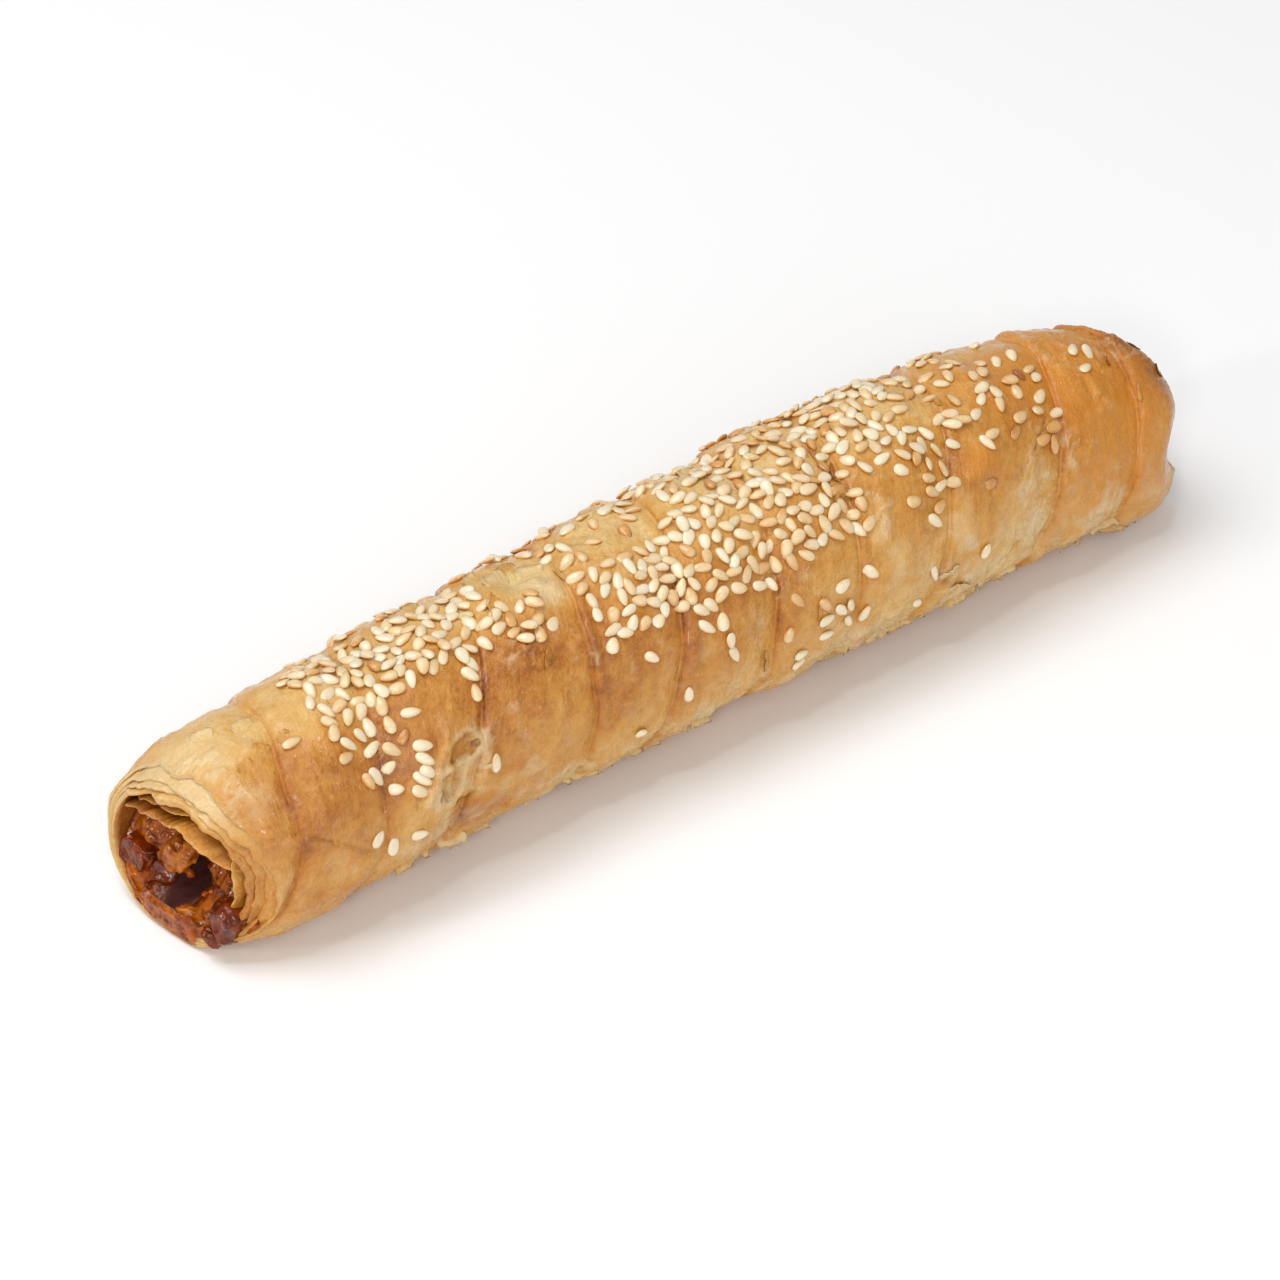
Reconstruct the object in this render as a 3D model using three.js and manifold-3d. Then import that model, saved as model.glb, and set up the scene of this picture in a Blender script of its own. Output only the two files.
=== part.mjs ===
// Borek roll: a long stick of thin pastry, wound as a strip round a meat and vegetable filling,
// open at both ends and strewn with sesame seeds.
// Millimetres. +X runs along the roll from the open near end to the browned far end, -Y is the front,
// +Z is up, and the origin is under the middle of the roll, on the flat of its underside.
// A place on the roll is a distance from the near end and an angle: 0 front, 90 crown, 180 back.
import * as THREE from 'three';
import { ParametricGeometry } from 'three/addons/geometries/ParametricGeometry.js';
import { mergeVertices } from 'three/addons/utils/BufferGeometryUtils.js';
import Module from 'manifold-3d';

// Roll
const LENGTH = 194;
const BASE_CUT = 2.4; // how much of the round underside is pressed flat
const MIDDLE_X = -3.2; // middle of the finished roll, brought over the origin
const MIDDLE_Y = -0.81;
// Form: distance, front half width, back half width, height of the crown
const FORM = [
  [0, 17.0, 16.8, 29.6],
  [14, 18.4, 17.6, 32.0],
  [32, 18.7, 18.2, 33.7],
  [62, 18.2, 18.2, 35.0],
  [95, 19.2, 18.9, 36.4],
  [120, 20.0, 19.4, 37.2],
  [148, 19.8, 18.7, 37.0],
  [166, 19.2, 17.9, 34.6],
  [182, 18.8, 17.1, 31.9],
  [194, 18.4, 16.6, 30.0],
];

// Ends: the near end is cut aslant and its front is drawn back from the filling, the far end has a notch in
// front and its crown drawn back
const NEAR_LIP = 1.5;
const NEAR_SLANT = 3.6;
const NEAR_SLANT_ANGLE = 40;
const NEAR_DRAW = 4;
const NEAR_DRAW_ANGLE = 5;
const NEAR_DRAW_WIDTH = 42;
const NEAR_REACH = 45;
const NEAR_ROUND = 1.6;
const NEAR_ROUND_REACH = 8;
const FAR_NOTCH = 4.5;
const FAR_NOTCH_ANGLE = 4;
const FAR_NOTCH_WIDTH = 22;
const FAR_DRAW = 5;
const FAR_DRAW_ANGLE = 118;
const FAR_DRAW_WIDTH = 38;
const FAR_REACH = 25;
const FAR_ROUND = 1.6;
const FAR_ROUND_REACH = 6;

// Wound strip: where each turn's edge crosses the crown, and how far it leans per degree over the front
const SEAMS = [
  [14.5, 0.095],
  [32.5, 0.1],
  [55.5, 0.16],
  [72.5, 0.076],
  [92, 0.12],
  [109, 0.09],
  [125.5, 0.08],
  [149, 0.15],
  [173, 0.133],
  [188.5, 0.1],
];
const BACK_LEAN = 0.06;
const BACK_LEAN_FADE = 30; // the lean over the back dies out this close to the far end
const LEAN_TURN = 135; // degrees either side of the crown over which an edge leans steadily
const SEAM_STEP = 1.1; // height of a turn's edge above the turn that it laps over
const SEAM_HALF = 0.7; // half the width of that step
const LAP_FALL = 1.4; // how quickly a turn sinks from its edge towards the next
const STRIP_BULGE = 0.5;
const RELIEF_LOW = -52; // angle below which the relief dies out into the flat underside
const RELIEF_FADE = 22;

// Hollows and swellings: distance, angle, half length, half angle, height
const SWELLINGS = [
  [45, -38, 16, 34, -1.9], // tucked-in underside of the front
  [41, 18, 5, 14, -1.5], // torn blister
  [66, 98, 4.5, 9, -1.1], // bare patch on the crown
  [149, 41, 4, 10, 0.9], // pillow beside the eighth turn's edge
  [121.5, 55, 1.8, 5, -0.9], // small hole under a burnt flake
  [181, -32, 9, 26, 1.4], // lip under the notch
];
// Slow waves over the whole roll
const UNEVEN = 0.35;
const UNEVEN_LENGTH = 33;
const UNEVEN_TURN = 103;

// Wall and bore
const WALL_THIN = 2.4;
const WALL_THICK = 5;
const WALL_THICK_ANGLE = 60;
const BASE_WALL = 2.2;
const LAYER_WAVE = 0.9; // how far the wavy layer edges stand out of an end's rim
const LAYER_WAVES = 7;
const LAYER_STAGGER = 0.45; // turns by which the waves of the innermost layer lag the outermost
const RIM_LAYERS = [0.12, 0.34, 0.42, 0.7, 0.8]; // share of the wall's thickness, from the outside in
// How deep each of those lies in the end
const NEAR_RIM_DEPTHS = [0.2, 0.7, -0.5, 0.3, -1.3];
const FAR_RIM_DEPTHS = [-0.2, 1.4, 0.5, 2.6, 1.8];
const BORE_LIP = 0.8; // where the bore starts at the near end

// Filling
const GAP = 0.3;
// Depth of the filling's ends inside the roll: the near end leans back from the floor of the bore to its top
const FILLING_NEAR_LOW = 1.2;
const FILLING_NEAR_HIGH = 9;
const FILLING_FAR = 5;
const FACE_RINGS = 4;
const FACE_LUMPS = 0.9;
const FACE_LUMP_SPACING = 7.4;
// Pocket in the near face of the filling: depth, radius and place
const POCKET = 4.5;
const POCKET_RADIUS = 4.5;
const POCKET_Y = 0.5;
const POCKET_Z = 9;
const LUMP_SHAPE = [0.8, 1, 0.9];
// Lumps that stand out of the filling's ends: side (-1 near, 1 far), share of the bore across and up, radius
const LUMPS = [
  [-1, 0.68, -0.4, 3.2],
  [-1, 0.32, -0.25, 3.2],
  [-1, -0.52, -0.4, 3.5],
  [-1, 0.1, -0.75, 2.6],
  [-1, -0.15, 0.35, 2.6],
  [1, 0.3, 0.25, 3.4],
  [1, -0.35, -0.2, 3.6],
  [1, 0.1, -0.5, 2.8],
  [1, -0.1, 0.5, 2.6],
];

// Sesame seeds
const SEED_LENGTH = 3.3;
const SEED_WIDTH = 2.1;
const SEED_THICKNESS = 1.3;
const SEED_TAPER = 0.32;
const SEED_RISE = 0.15; // height of a seed's middle above the pastry
const SEED_SPACING = 2.7;
const SEED_TURN = 5; // degrees of the roll that a seed lies across
const SEED_TRIES = 40;
const SEED_SIDES = 6;
// Patches of seeds: distance, angle, half length, half angle, number
const SEED_PATCHES = [
  [33, 78, 12, 30, 23],
  [29, 34, 9, 15, 7],
  [50, 88, 7, 22, 10],
  [12, 80, 6, 8, 3],
  [66, 66, 6, 10, 6],
  [86, 60, 13, 20, 21],
  [86, 102, 13, 18, 8],
  [92, 26, 3, 15, 4],
  [111, 70, 11, 40, 30],
  [112, 2, 11, 13, 7],
  [133, 88, 9, 24, 16],
  [137, 40, 6, 16, 5],
  [156, 76, 13, 24, 13],
  [178, 73, 3, 8, 3],
  [26, -2, 7, 9, 3],
  [140, 0, 7, 7, 3],
  [60, 138, 40, 16, 7],
  [130, 138, 35, 16, 7],
];

// Fineness of the surface
const AROUND = 36;
const RING_STEP = 4.6;
const BORE_STEPS = 10;

const PASTRY_COLOUR = 0xd9a866;
const FILLING_COLOUR = 0x7a2d12;

const wasm = await Module();
wasm.setup();

let randomSeed = 7;

// The next number of a fixed row of random numbers between low and high.
function draw(low, high) {
  randomSeed += 1;
  return low + (high - low) * THREE.MathUtils.seededRandom(randomSeed);
}

// A smooth bump of height 1 that falls away over about one width.
function bump(offset, width) {
  return Math.exp(-((offset / width) ** 2));
}

// A wave between -1 and 1 that repeats after every whole number.
function wave(turns) {
  return Math.sin(2 * Math.PI * turns);
}

// An angle brought to between -90 and 270 degrees.
function wrapAngle(angle) {
  return THREE.MathUtils.euclideanModulo(angle + 90, 360) - 90;
}

// The shortest turn between two angles, in degrees.
function turnBetween(from, to) {
  return THREE.MathUtils.euclideanModulo(to - from + 180, 360) - 180;
}

const formCurve = new THREE.CubicInterpolant(
  FORM.map((row) => row[0]),
  FORM.flatMap((row) => row.slice(1)),
  3,
);

// How far an angle lies from the crown for an edge that leans: steady over front, crown and back, and
// running back under the roll.
function leanTurn(angle) {
  const turn = wrapAngle(angle) - 90;
  if (Math.abs(turn) <= LEAN_TURN) return turn;
  const under = (180 - Math.abs(turn)) / (180 - LEAN_TURN);
  return Math.sign(turn) * LEAN_TURN * under;
}

// The edges of the turns and the two ends, each as a function from angle to distance.
const edges = [
  () => 0,
  ...SEAMS.map(([crown, lean]) => (angle) => {
    const turn = leanTurn(angle);
    const fade = Math.min(1, (LENGTH - crown) / BACK_LEAN_FADE);
    return crown + turn * (turn < 0 ? lean : BACK_LEAN * fade);
  }),
  () => LENGTH,
];

// Height of the relief above the bare roll.
function relief(distance, angle) {
  const at = wrapAngle(angle);
  const above = Math.min(at - RELIEF_LOW, 180 - RELIEF_LOW - at);
  const fade = THREE.MathUtils.smoothstep(above, 0, RELIEF_FADE);
  let strip = edges.length - 2;
  while (strip > 0 && distance < edges[strip](at)) strip -= 1;
  const start = edges[strip](at);
  const end = edges[strip + 1](at);
  const along = THREE.MathUtils.clamp((distance - start) / (end - start), 0, 1);
  const lap = strip > 0 ? SEAM_STEP : SEAM_STEP / 2;
  let height = lap * (1 - along) ** LAP_FALL + STRIP_BULGE * Math.sin(Math.PI * along);
  const rise = THREE.MathUtils.smoothstep(distance - start, -SEAM_HALF, SEAM_HALF);
  if (strip > 0) height *= rise;
  height += UNEVEN * wave(distance / UNEVEN_LENGTH) * wave(at / UNEVEN_TURN - distance / LENGTH);
  height *= fade;
  for (const [s, a, halfLength, halfAngle, rises] of SWELLINGS) {
    height += rises * bump(distance - s, halfLength) * bump(turnBetween(a, at), halfAngle);
  }
  return height;
}

// How far a point near an end is moved along the roll by its lip, its notch and what is drawn back.
function endShift(distance, angle) {
  const near = Math.max(0, 1 - distance / NEAR_REACH) ** 2;
  const far = Math.max(0, 1 - (LENGTH - distance) / FAR_REACH) ** 2;
  const slant = NEAR_SLANT * Math.cos(THREE.MathUtils.degToRad(angle - NEAR_SLANT_ANGLE));
  const front = NEAR_DRAW * bump(turnBetween(NEAR_DRAW_ANGLE, angle), NEAR_DRAW_WIDTH);
  const notch = FAR_NOTCH * bump(turnBetween(FAR_NOTCH_ANGLE, angle), FAR_NOTCH_WIDTH);
  const drawn = FAR_DRAW * bump(turnBetween(FAR_DRAW_ANGLE, angle), FAR_DRAW_WIDTH);
  return near * (slant + front - NEAR_LIP) - far * (notch + drawn);
}

// How far the outside turns in towards the two ends.
function endRound(distance) {
  const near = Math.max(0, 1 - distance / NEAR_ROUND_REACH) ** 2;
  const far = Math.max(0, 1 - (LENGTH - distance) / FAR_ROUND_REACH) ** 2;
  return NEAR_ROUND * near + FAR_ROUND * far;
}

// A point of the bare roll moved inwards, and no lower than the floor given.
function rollPoint(distance, angle, inset, floor, target = new THREE.Vector3()) {
  const [front, back, crown] = formCurve.evaluate(THREE.MathUtils.clamp(distance, 0, LENGTH));
  const turn = THREE.MathUtils.degToRad(angle);
  const half = Math.cos(turn) > 0 ? front : back;
  const rise = (crown + BASE_CUT) / 2;
  return target.set(
    distance - LENGTH / 2 - MIDDLE_X + endShift(distance, angle),
    -(half - inset) * Math.cos(turn) - MIDDLE_Y,
    Math.max(rise - BASE_CUT + (rise - inset) * Math.sin(turn), floor),
  );
}

// The pastry's outside, with its relief.
function outside(distance, angle, target) {
  return rollPoint(distance, angle, endRound(distance) - relief(distance, angle), 0, target);
}

// Thickness of the wall of wound layers.
function wall(angle) {
  const turn = THREE.MathUtils.degToRad(angle - WALL_THICK_ANGLE);
  return WALL_THIN + ((WALL_THICK - WALL_THIN) * (1 + Math.cos(turn))) / 2;
}

// The bore, less a gap.
function bore(distance, angle, gap, target) {
  return rollPoint(distance, angle, wall(angle) + gap, BASE_WALL + gap, target);
}

// One ring of a rim between outside and bore, at a share of the wall and pushed into the end.
function rimPoint(end, share, depth, angle, target) {
  const inwards = end === 0 ? 1 : -1;
  outside(end, angle, target);
  target.lerp(bore(end, angle, 0), share);
  const waves = (angle / 360 + share * LAYER_STAGGER) * LAYER_WAVES;
  target.x += inwards * (depth + LAYER_WAVE * wave(waves) * Math.sin(Math.PI * share));
  return target;
}

// The rings of the outside: two at each turn's edge, the rest spread between them.
function outsideRings() {
  const rings = [];
  for (let strip = 0; strip + 1 < edges.length; strip += 1) {
    const first = strip === 0 ? 0 : SEAM_HALF;
    const last = strip + 2 === edges.length ? 0 : SEAM_HALF;
    const width = edges[strip + 1](90) - edges[strip](90);
    const steps = Math.max(2, Math.round(width / RING_STEP));
    for (let step = 0; step <= steps; step += 1) {
      rings.push((angle, target) => {
        const start = edges[strip](angle) + first;
        const end = edges[strip + 1](angle) - last;
        return outside(THREE.MathUtils.lerp(start, end, step / steps), angle, target);
      });
    }
  }
  return rings;
}

// A closed skin through rings of points: the last ring joins the first, and every ring goes right round.
function skin(rings) {
  const point = (u, v, target) => {
    const ring = rings[Math.round(v * rings.length) % rings.length];
    ring(270 - 360 * (Math.round(u * AROUND) / AROUND), target);
  };
  return new ParametricGeometry(point, AROUND, rings.length);
}

// A geometry's solid: shared corners merged, and triangles without area left out.
function solidOf(geometry) {
  geometry.deleteAttribute('normal');
  geometry.deleteAttribute('uv');
  const merged = mergeVertices(geometry, 1e-4);
  const corners = merged.index.array;
  const triangles = [];
  for (let i = 0; i < corners.length; i += 3) {
    const [a, b, c] = corners.subarray(i, i + 3);
    if (a !== b && b !== c && c !== a) triangles.push(a, b, c);
  }
  const mesh = new wasm.Mesh({
    numProp: 3,
    vertProperties: new Float32Array(merged.getAttribute('position').array),
    triVerts: new Uint32Array(triangles),
  });
  return new wasm.Manifold(mesh);
}

// The geometry of a solid.
function geometryOf(solid) {
  const mesh = solid.getMesh();
  const geometry = new THREE.BufferGeometry();
  geometry.setAttribute('position', new THREE.BufferAttribute(new Float32Array(mesh.vertProperties), 3));
  geometry.setIndex(new THREE.BufferAttribute(new Uint32Array(mesh.triVerts), 1));
  geometry.computeVertexNormals();
  return geometry;
}

// A tapered seed, lying flat on the pastry at a turn of its own.
function seed(distance, angle, yaw) {
  const here = outside(distance, angle);
  const along = outside(distance + SEED_WIDTH, angle).sub(outside(distance - SEED_WIDTH, angle)).normalize();
  const round = outside(distance, angle + SEED_TURN).sub(outside(distance, angle - SEED_TURN)).normalize();
  const up = along.clone().cross(round).normalize();
  along.copy(round).cross(up);
  const long = along.clone().applyAxisAngle(up, yaw);
  const across = up.clone().cross(long);
  const shape = new THREE.SphereGeometry(0.5, SEED_SIDES, 2);
  shape.rotateX(Math.PI / 2);
  const position = shape.getAttribute('position');
  for (let i = 0; i < position.count; i += 1) {
    const x = position.getX(i);
    position.setY(i, position.getY(i) * (1 - 2 * SEED_TAPER * x));
  }
  shape.scale(SEED_LENGTH, SEED_WIDTH, SEED_THICKNESS);
  const place = new THREE.Matrix4().makeBasis(long, across, up);
  place.setPosition(here.addScaledVector(up, SEED_RISE));
  return shape.applyMatrix4(place);
}

// All the seeds: each patch is filled with seeds that keep their spacing.
function seeds() {
  const placed = [];
  const solids = [];
  for (const [distance, angle, halfLength, halfAngle, number] of SEED_PATCHES) {
    for (let i = 0; i < number; i += 1) {
      for (let attempt = 0; attempt < SEED_TRIES; attempt += 1) {
        const s = distance + draw(-halfLength, halfLength);
        const a = angle + draw(-halfAngle, halfAngle);
        const yaw = draw(0, 2 * Math.PI);
        const middle = outside(s, a);
        if (placed.some((other) => other.distanceTo(middle) < SEED_SPACING)) continue;
        placed.push(middle);
        solids.push(solidOf(seed(s, a, yaw)));
        break;
      }
    }
  }
  return solids;
}

// Where a ring of the bore or of the filling lies: at a share of the way between the filling's two ends.
function boreDistance(share, angle) {
  const up = (1 + Math.sin(THREE.MathUtils.degToRad(angle))) / 2;
  const near = THREE.MathUtils.lerp(FILLING_NEAR_LOW, FILLING_NEAR_HIGH, up);
  return THREE.MathUtils.lerp(near, LENGTH - FILLING_FAR, share);
}

// The rings of the bore, less a gap, from the filling's near end to its far end.
function boreRings(gap) {
  const shares = Array.from({ length: BORE_STEPS + 1 }, (_, i) => i / BORE_STEPS);
  return shares.map((share) => (angle, target) => bore(boreDistance(share, angle), angle, gap, target));
}

// Wound pastry: a tube with wavy layer edges at both ends and the seeds fused on.
function pastryGeometry() {
  const rim = (end, depths) =>
    RIM_LAYERS.map((share, i) => (angle, target) => rimPoint(end, share, depths[i], angle, target));
  const rings = outsideRings();
  rings.push(...rim(LENGTH, FAR_RIM_DEPTHS));
  const farLip = LENGTH - FAR_RIM_DEPTHS[FAR_RIM_DEPTHS.length - 1];
  rings.push((angle, target) => bore(farLip, angle, 0, target));
  rings.push(...boreRings(0).reverse());
  rings.push((angle, target) => bore(BORE_LIP, angle, 0, target));
  rings.push(...rim(0, NEAR_RIM_DEPTHS).reverse());
  return geometryOf(wasm.Manifold.union([solidOf(skin(rings)), ...seeds()]));
}

// A point of one end of the filling (0 near, 1 far): a share of the way from the bore's middle to its wall.
function fillingFace(end, share, angle, target) {
  const rim = (at) => bore(boreDistance(end, at), at, GAP);
  const middle = rim(90).add(rim(-90)).multiplyScalar(0.5);
  target.copy(rim(angle)).lerp(middle, 1 - share);
  const inside = 1 - share ** 4;
  target.x += FACE_LUMPS * inside * wave(target.y / FACE_LUMP_SPACING) * wave(target.z / FACE_LUMP_SPACING);
  if (end === 0) {
    const pocket = bump(target.y - POCKET_Y, POCKET_RADIUS) * bump(target.z - POCKET_Z, POCKET_RADIUS);
    target.x += POCKET * inside * pocket;
  }
  return target;
}

// A lump of meat or vegetable that stands out of an end of the filling.
function lump([side, across, up, radius]) {
  const end = side < 0 ? 0 : 1;
  const rim = (angle) => bore(boreDistance(end, angle), angle, GAP);
  const [front, top, back, bottom] = [0, 90, 180, -90].map(rim);
  const shape = new THREE.IcosahedronGeometry(radius, 1);
  shape.scale(...LUMP_SHAPE);
  shape.rotateX(across * Math.PI);
  shape.rotateZ(up * Math.PI);
  shape.translate(
    THREE.MathUtils.lerp(bottom.x, top.x, (up + 1) / 2),
    THREE.MathUtils.lerp(front.y, back.y, (across + 1) / 2),
    THREE.MathUtils.lerp(bottom.z, top.z, (up + 1) / 2),
  );
  return solidOf(shape);
}

// Filling: a rod through the whole roll, uneven and lumpy at its two ends.
function fillingGeometry() {
  const shares = Array.from({ length: FACE_RINGS }, (_, i) => i / FACE_RINGS);
  const face = (end) =>
    shares.map((share) => (angle, target) => fillingFace(end, share, angle, target));
  const rod = skin([...face(0), ...boreRings(GAP), ...face(1).reverse()]);
  // the room that the lumps may fill, clear of the bore all round
  const clear = 2 * GAP;
  const mouth = (distance) => [
    (angle, target) => bore(distance, 90, clear, target).lerp(bore(distance, -90, clear), 0.5),
    (angle, target) => bore(distance, angle, clear, target),
  ];
  const room = skin([...mouth(0), ...boreRings(clear), ...mouth(LENGTH).reverse()]);
  const lumps = wasm.Manifold.union(LUMPS.map(lump)).intersect(solidOf(room));
  return geometryOf(solidOf(rod).add(lumps));
}

// A named piece with a material of its own.
function part(name, geometry, colour, roughness) {
  const material = new THREE.MeshStandardMaterial({ color: colour, roughness, metalness: 0 });
  const mesh = new THREE.Mesh(geometry, material);
  mesh.name = name;
  return mesh;
}

const borek = new THREE.Group();
borek.add(part('pastry', pastryGeometry(), PASTRY_COLOUR, 0.55));
borek.add(part('filling', fillingGeometry(), FILLING_COLOUR, 0.3));

export default borek;
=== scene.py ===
"""Dresses the borek roll: wound pastry, layered rims, sesame seeds, flakes and a meat and vegetable filling.

Places on the roll are a distance from the near end in millimetres and an angle in degrees: 0 front, 90 crown,
180 back. Lengths are millimetres until a mesh is made.
"""

import itertools
import logging
import math
from dataclasses import dataclass, field
from enum import Enum
from typing import Any

import bpy
import numpy as np
from mathutils import Euler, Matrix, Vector

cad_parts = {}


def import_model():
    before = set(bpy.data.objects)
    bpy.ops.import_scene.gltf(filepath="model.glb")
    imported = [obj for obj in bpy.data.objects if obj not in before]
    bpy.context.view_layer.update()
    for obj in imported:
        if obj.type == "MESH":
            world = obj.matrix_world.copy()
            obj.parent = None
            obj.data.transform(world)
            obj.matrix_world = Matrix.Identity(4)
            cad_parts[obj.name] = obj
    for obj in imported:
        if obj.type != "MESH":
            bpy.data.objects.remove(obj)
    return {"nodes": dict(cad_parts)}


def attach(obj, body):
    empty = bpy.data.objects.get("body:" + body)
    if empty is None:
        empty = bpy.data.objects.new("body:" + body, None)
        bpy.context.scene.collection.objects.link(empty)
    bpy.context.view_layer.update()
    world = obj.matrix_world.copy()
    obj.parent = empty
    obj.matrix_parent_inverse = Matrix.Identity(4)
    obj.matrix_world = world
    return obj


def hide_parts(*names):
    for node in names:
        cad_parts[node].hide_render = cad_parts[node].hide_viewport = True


LOG = logging.getLogger("borek")
MM = 0.001
DEGREE = 0.33  # millimetres of the roll's outside in one degree
RADIUS = 18.5  # millimetres, for patterns that run round the roll
ROOT = "root"
BAKE_MAP = "OFBake"
TILE_FILL = 0.95  # share of its tile of the bake's square that a sheet takes up

# places round the near rim in degrees: where its layers part, a scrap of clean lip, and the stained lip
PARTED_AT = 58
PARTED_HALF = 82
PARTED_FADE = (-12, 14)
CLEAN_AT = -60
CLEAN_HALF = 7
SAUCED_AT = -76
SAUCED_HALF = 36
SAUCED_MOST = 0.85

Array = np.ndarray
Place = tuple[float, float]
Range = tuple[float, float]
Triple = tuple[float, float, float]
Tile = tuple[float, float, float, float]
Colour = tuple[float, float, float, float]
Material = bpy.types.Material
Object = bpy.types.Object
Socket = bpy.types.NodeSocket
Node = bpy.types.Node


class End(Enum):
    """The two ends of the roll, each with the direction that leads inwards."""

    NEAR = 1
    FAR = -1


class Bit(Enum):
    """What the filling is cut from."""

    MEAT = "meat"
    ONION = "onion"
    PEPPER = "pepper"


def srgb(red: int, green: int, blue: int) -> Colour:
    """Turns a colour on the 0 to 255 scale of a screen into a shader's colour.

    Args:
        red: the red share.
        green: the green share.
        blue: the blue share.

    Returns:
        Linear red, green, blue and a full alpha.
    """
    parts = [value / 255 for value in (red, green, blue)]
    linear = [part / 12.92 if part <= 0.04045 else ((part + 0.055) / 1.055) ** 2.4 for part in parts]
    return (linear[0], linear[1], linear[2], 1.0)


def bump(offset: Array, width: float) -> Array:
    """Gives a smooth bump of height 1 that falls away over about one width."""
    return np.exp(-((offset / width) ** 2))


def smoothstep(value: Array, low: float, high: float) -> Array:
    """Rises smoothly from 0 at low to 1 at high."""
    share = np.clip((value - low) / (high - low), 0, 1)
    return share * share * (3 - 2 * share)


def wrap(angle: Array) -> Array:
    """Brings an angle to between -90 and 270 degrees."""
    return np.mod(angle + 90, 360) - 90


def turn_between(start: float, angle: Array) -> Array:
    """Gives the shortest turn from one angle to others, in degrees."""
    return np.mod(angle - start + 180, 360) - 180


def each(kind: type, rows: tuple) -> tuple:
    """Makes a thing of one kind from each row of its values."""
    return tuple(kind(*row) for row in rows)


def near_open(angle: Array) -> Array:
    """Gives 1 where the layers of the near rim have parted, from the front over the top, and 0 elsewhere."""
    return smoothstep(PARTED_HALF - np.abs(turn_between(PARTED_AT, angle)), *PARTED_FADE)


def bare_lip(angle: Array) -> Array:
    """Gives 1 where a scrap of clean dough shows in the stained underside of the near rim."""
    return bump(turn_between(CLEAN_AT, angle), CLEAN_HALF)


def sauced_lip(angle: Array) -> Array:
    """Gives how much the filling has stained the near rim, mostly on its underside."""
    return SAUCED_MOST * bump(turn_between(SAUCED_AT, angle), SAUCED_HALF) * (1 - bare_lip(angle))


def around(angle: Array, grain: float) -> list[Array]:
    """Gives how far across and up the mean circle of the roll places lie, in units of a grain."""
    circle = np.radians(angle)
    return [RADIUS * np.cos(circle) / grain, RADIUS * np.sin(circle) / grain]


def tiles(count: int) -> list[Tile]:
    """Shares the bake's square out among sheets.

    Args:
        count: how many sheets.

    Returns:
        Left, low, right and high border of each sheet's tile.
    """
    cells = math.ceil(math.sqrt(count))
    corners = [divmod(number, cells) for number in range(count)]
    return [
        (column / cells, row / cells, (column + TILE_FILL) / cells, (row + TILE_FILL) / cells)
        for row, column in corners
    ]


class Noise:
    """A smooth random field in three dimensions, the same on every run."""

    cells = 256
    gain = 1.6
    layer_shift = 17.3

    def __init__(self, seed: int) -> None:
        """Draws the slopes of the field.

        Args:
            seed: number of the field.
        """
        rng = np.random.default_rng(seed)
        order = rng.permutation(self.cells)
        self.order = np.concatenate([order, order])
        slopes = rng.normal(size=(self.cells, 3))
        self.slopes = slopes / np.linalg.norm(slopes, axis=1, keepdims=True)

    def at(self, *coordinates: Array) -> Array:
        """Gives the field at points.

        Args:
            coordinates: up to three arrays of coordinates, in units of the field's grain.

        Returns:
            Values between about -1 and 1.
        """
        spread = np.broadcast_arrays(*coordinates)
        missing = [np.zeros_like(spread[0], dtype=float)] * (3 - len(spread))
        points = np.stack([*spread, *missing], -1).astype(float)
        cell = np.floor(points).astype(int)
        part = points - cell
        ease = part**3 * (part * (part * 6 - 15) + 10)
        total = np.zeros(points.shape[:-1])
        for corner in itertools.product((0, 1), repeat=3):
            index = np.zeros(total.shape, dtype=int)
            weight = np.ones(total.shape)
            for axis, step in enumerate(corner):
                index = self.order[index + (cell[..., axis] + step) % self.cells]
                weight = weight * (ease[..., axis] if step else 1 - ease[..., axis])
            total += weight * np.sum(self.slopes[index] * (part - np.array(corner)), -1)
        return self.gain * total

    def layered(self, *coordinates: Array, octaves: int = 3) -> Array:
        """Adds finer and weaker copies of the field to itself.

        Args:
            coordinates: arrays of coordinates, in units of the coarsest grain.
            octaves: number of copies, each twice as fine and half as strong.

        Returns:
            Values between about -1.5 and 1.5.
        """
        return sum(
            0.5**level * self.at(*[axis * 2**level + self.layer_shift * level for axis in coordinates])
            for level in range(octaves)
        )


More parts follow.
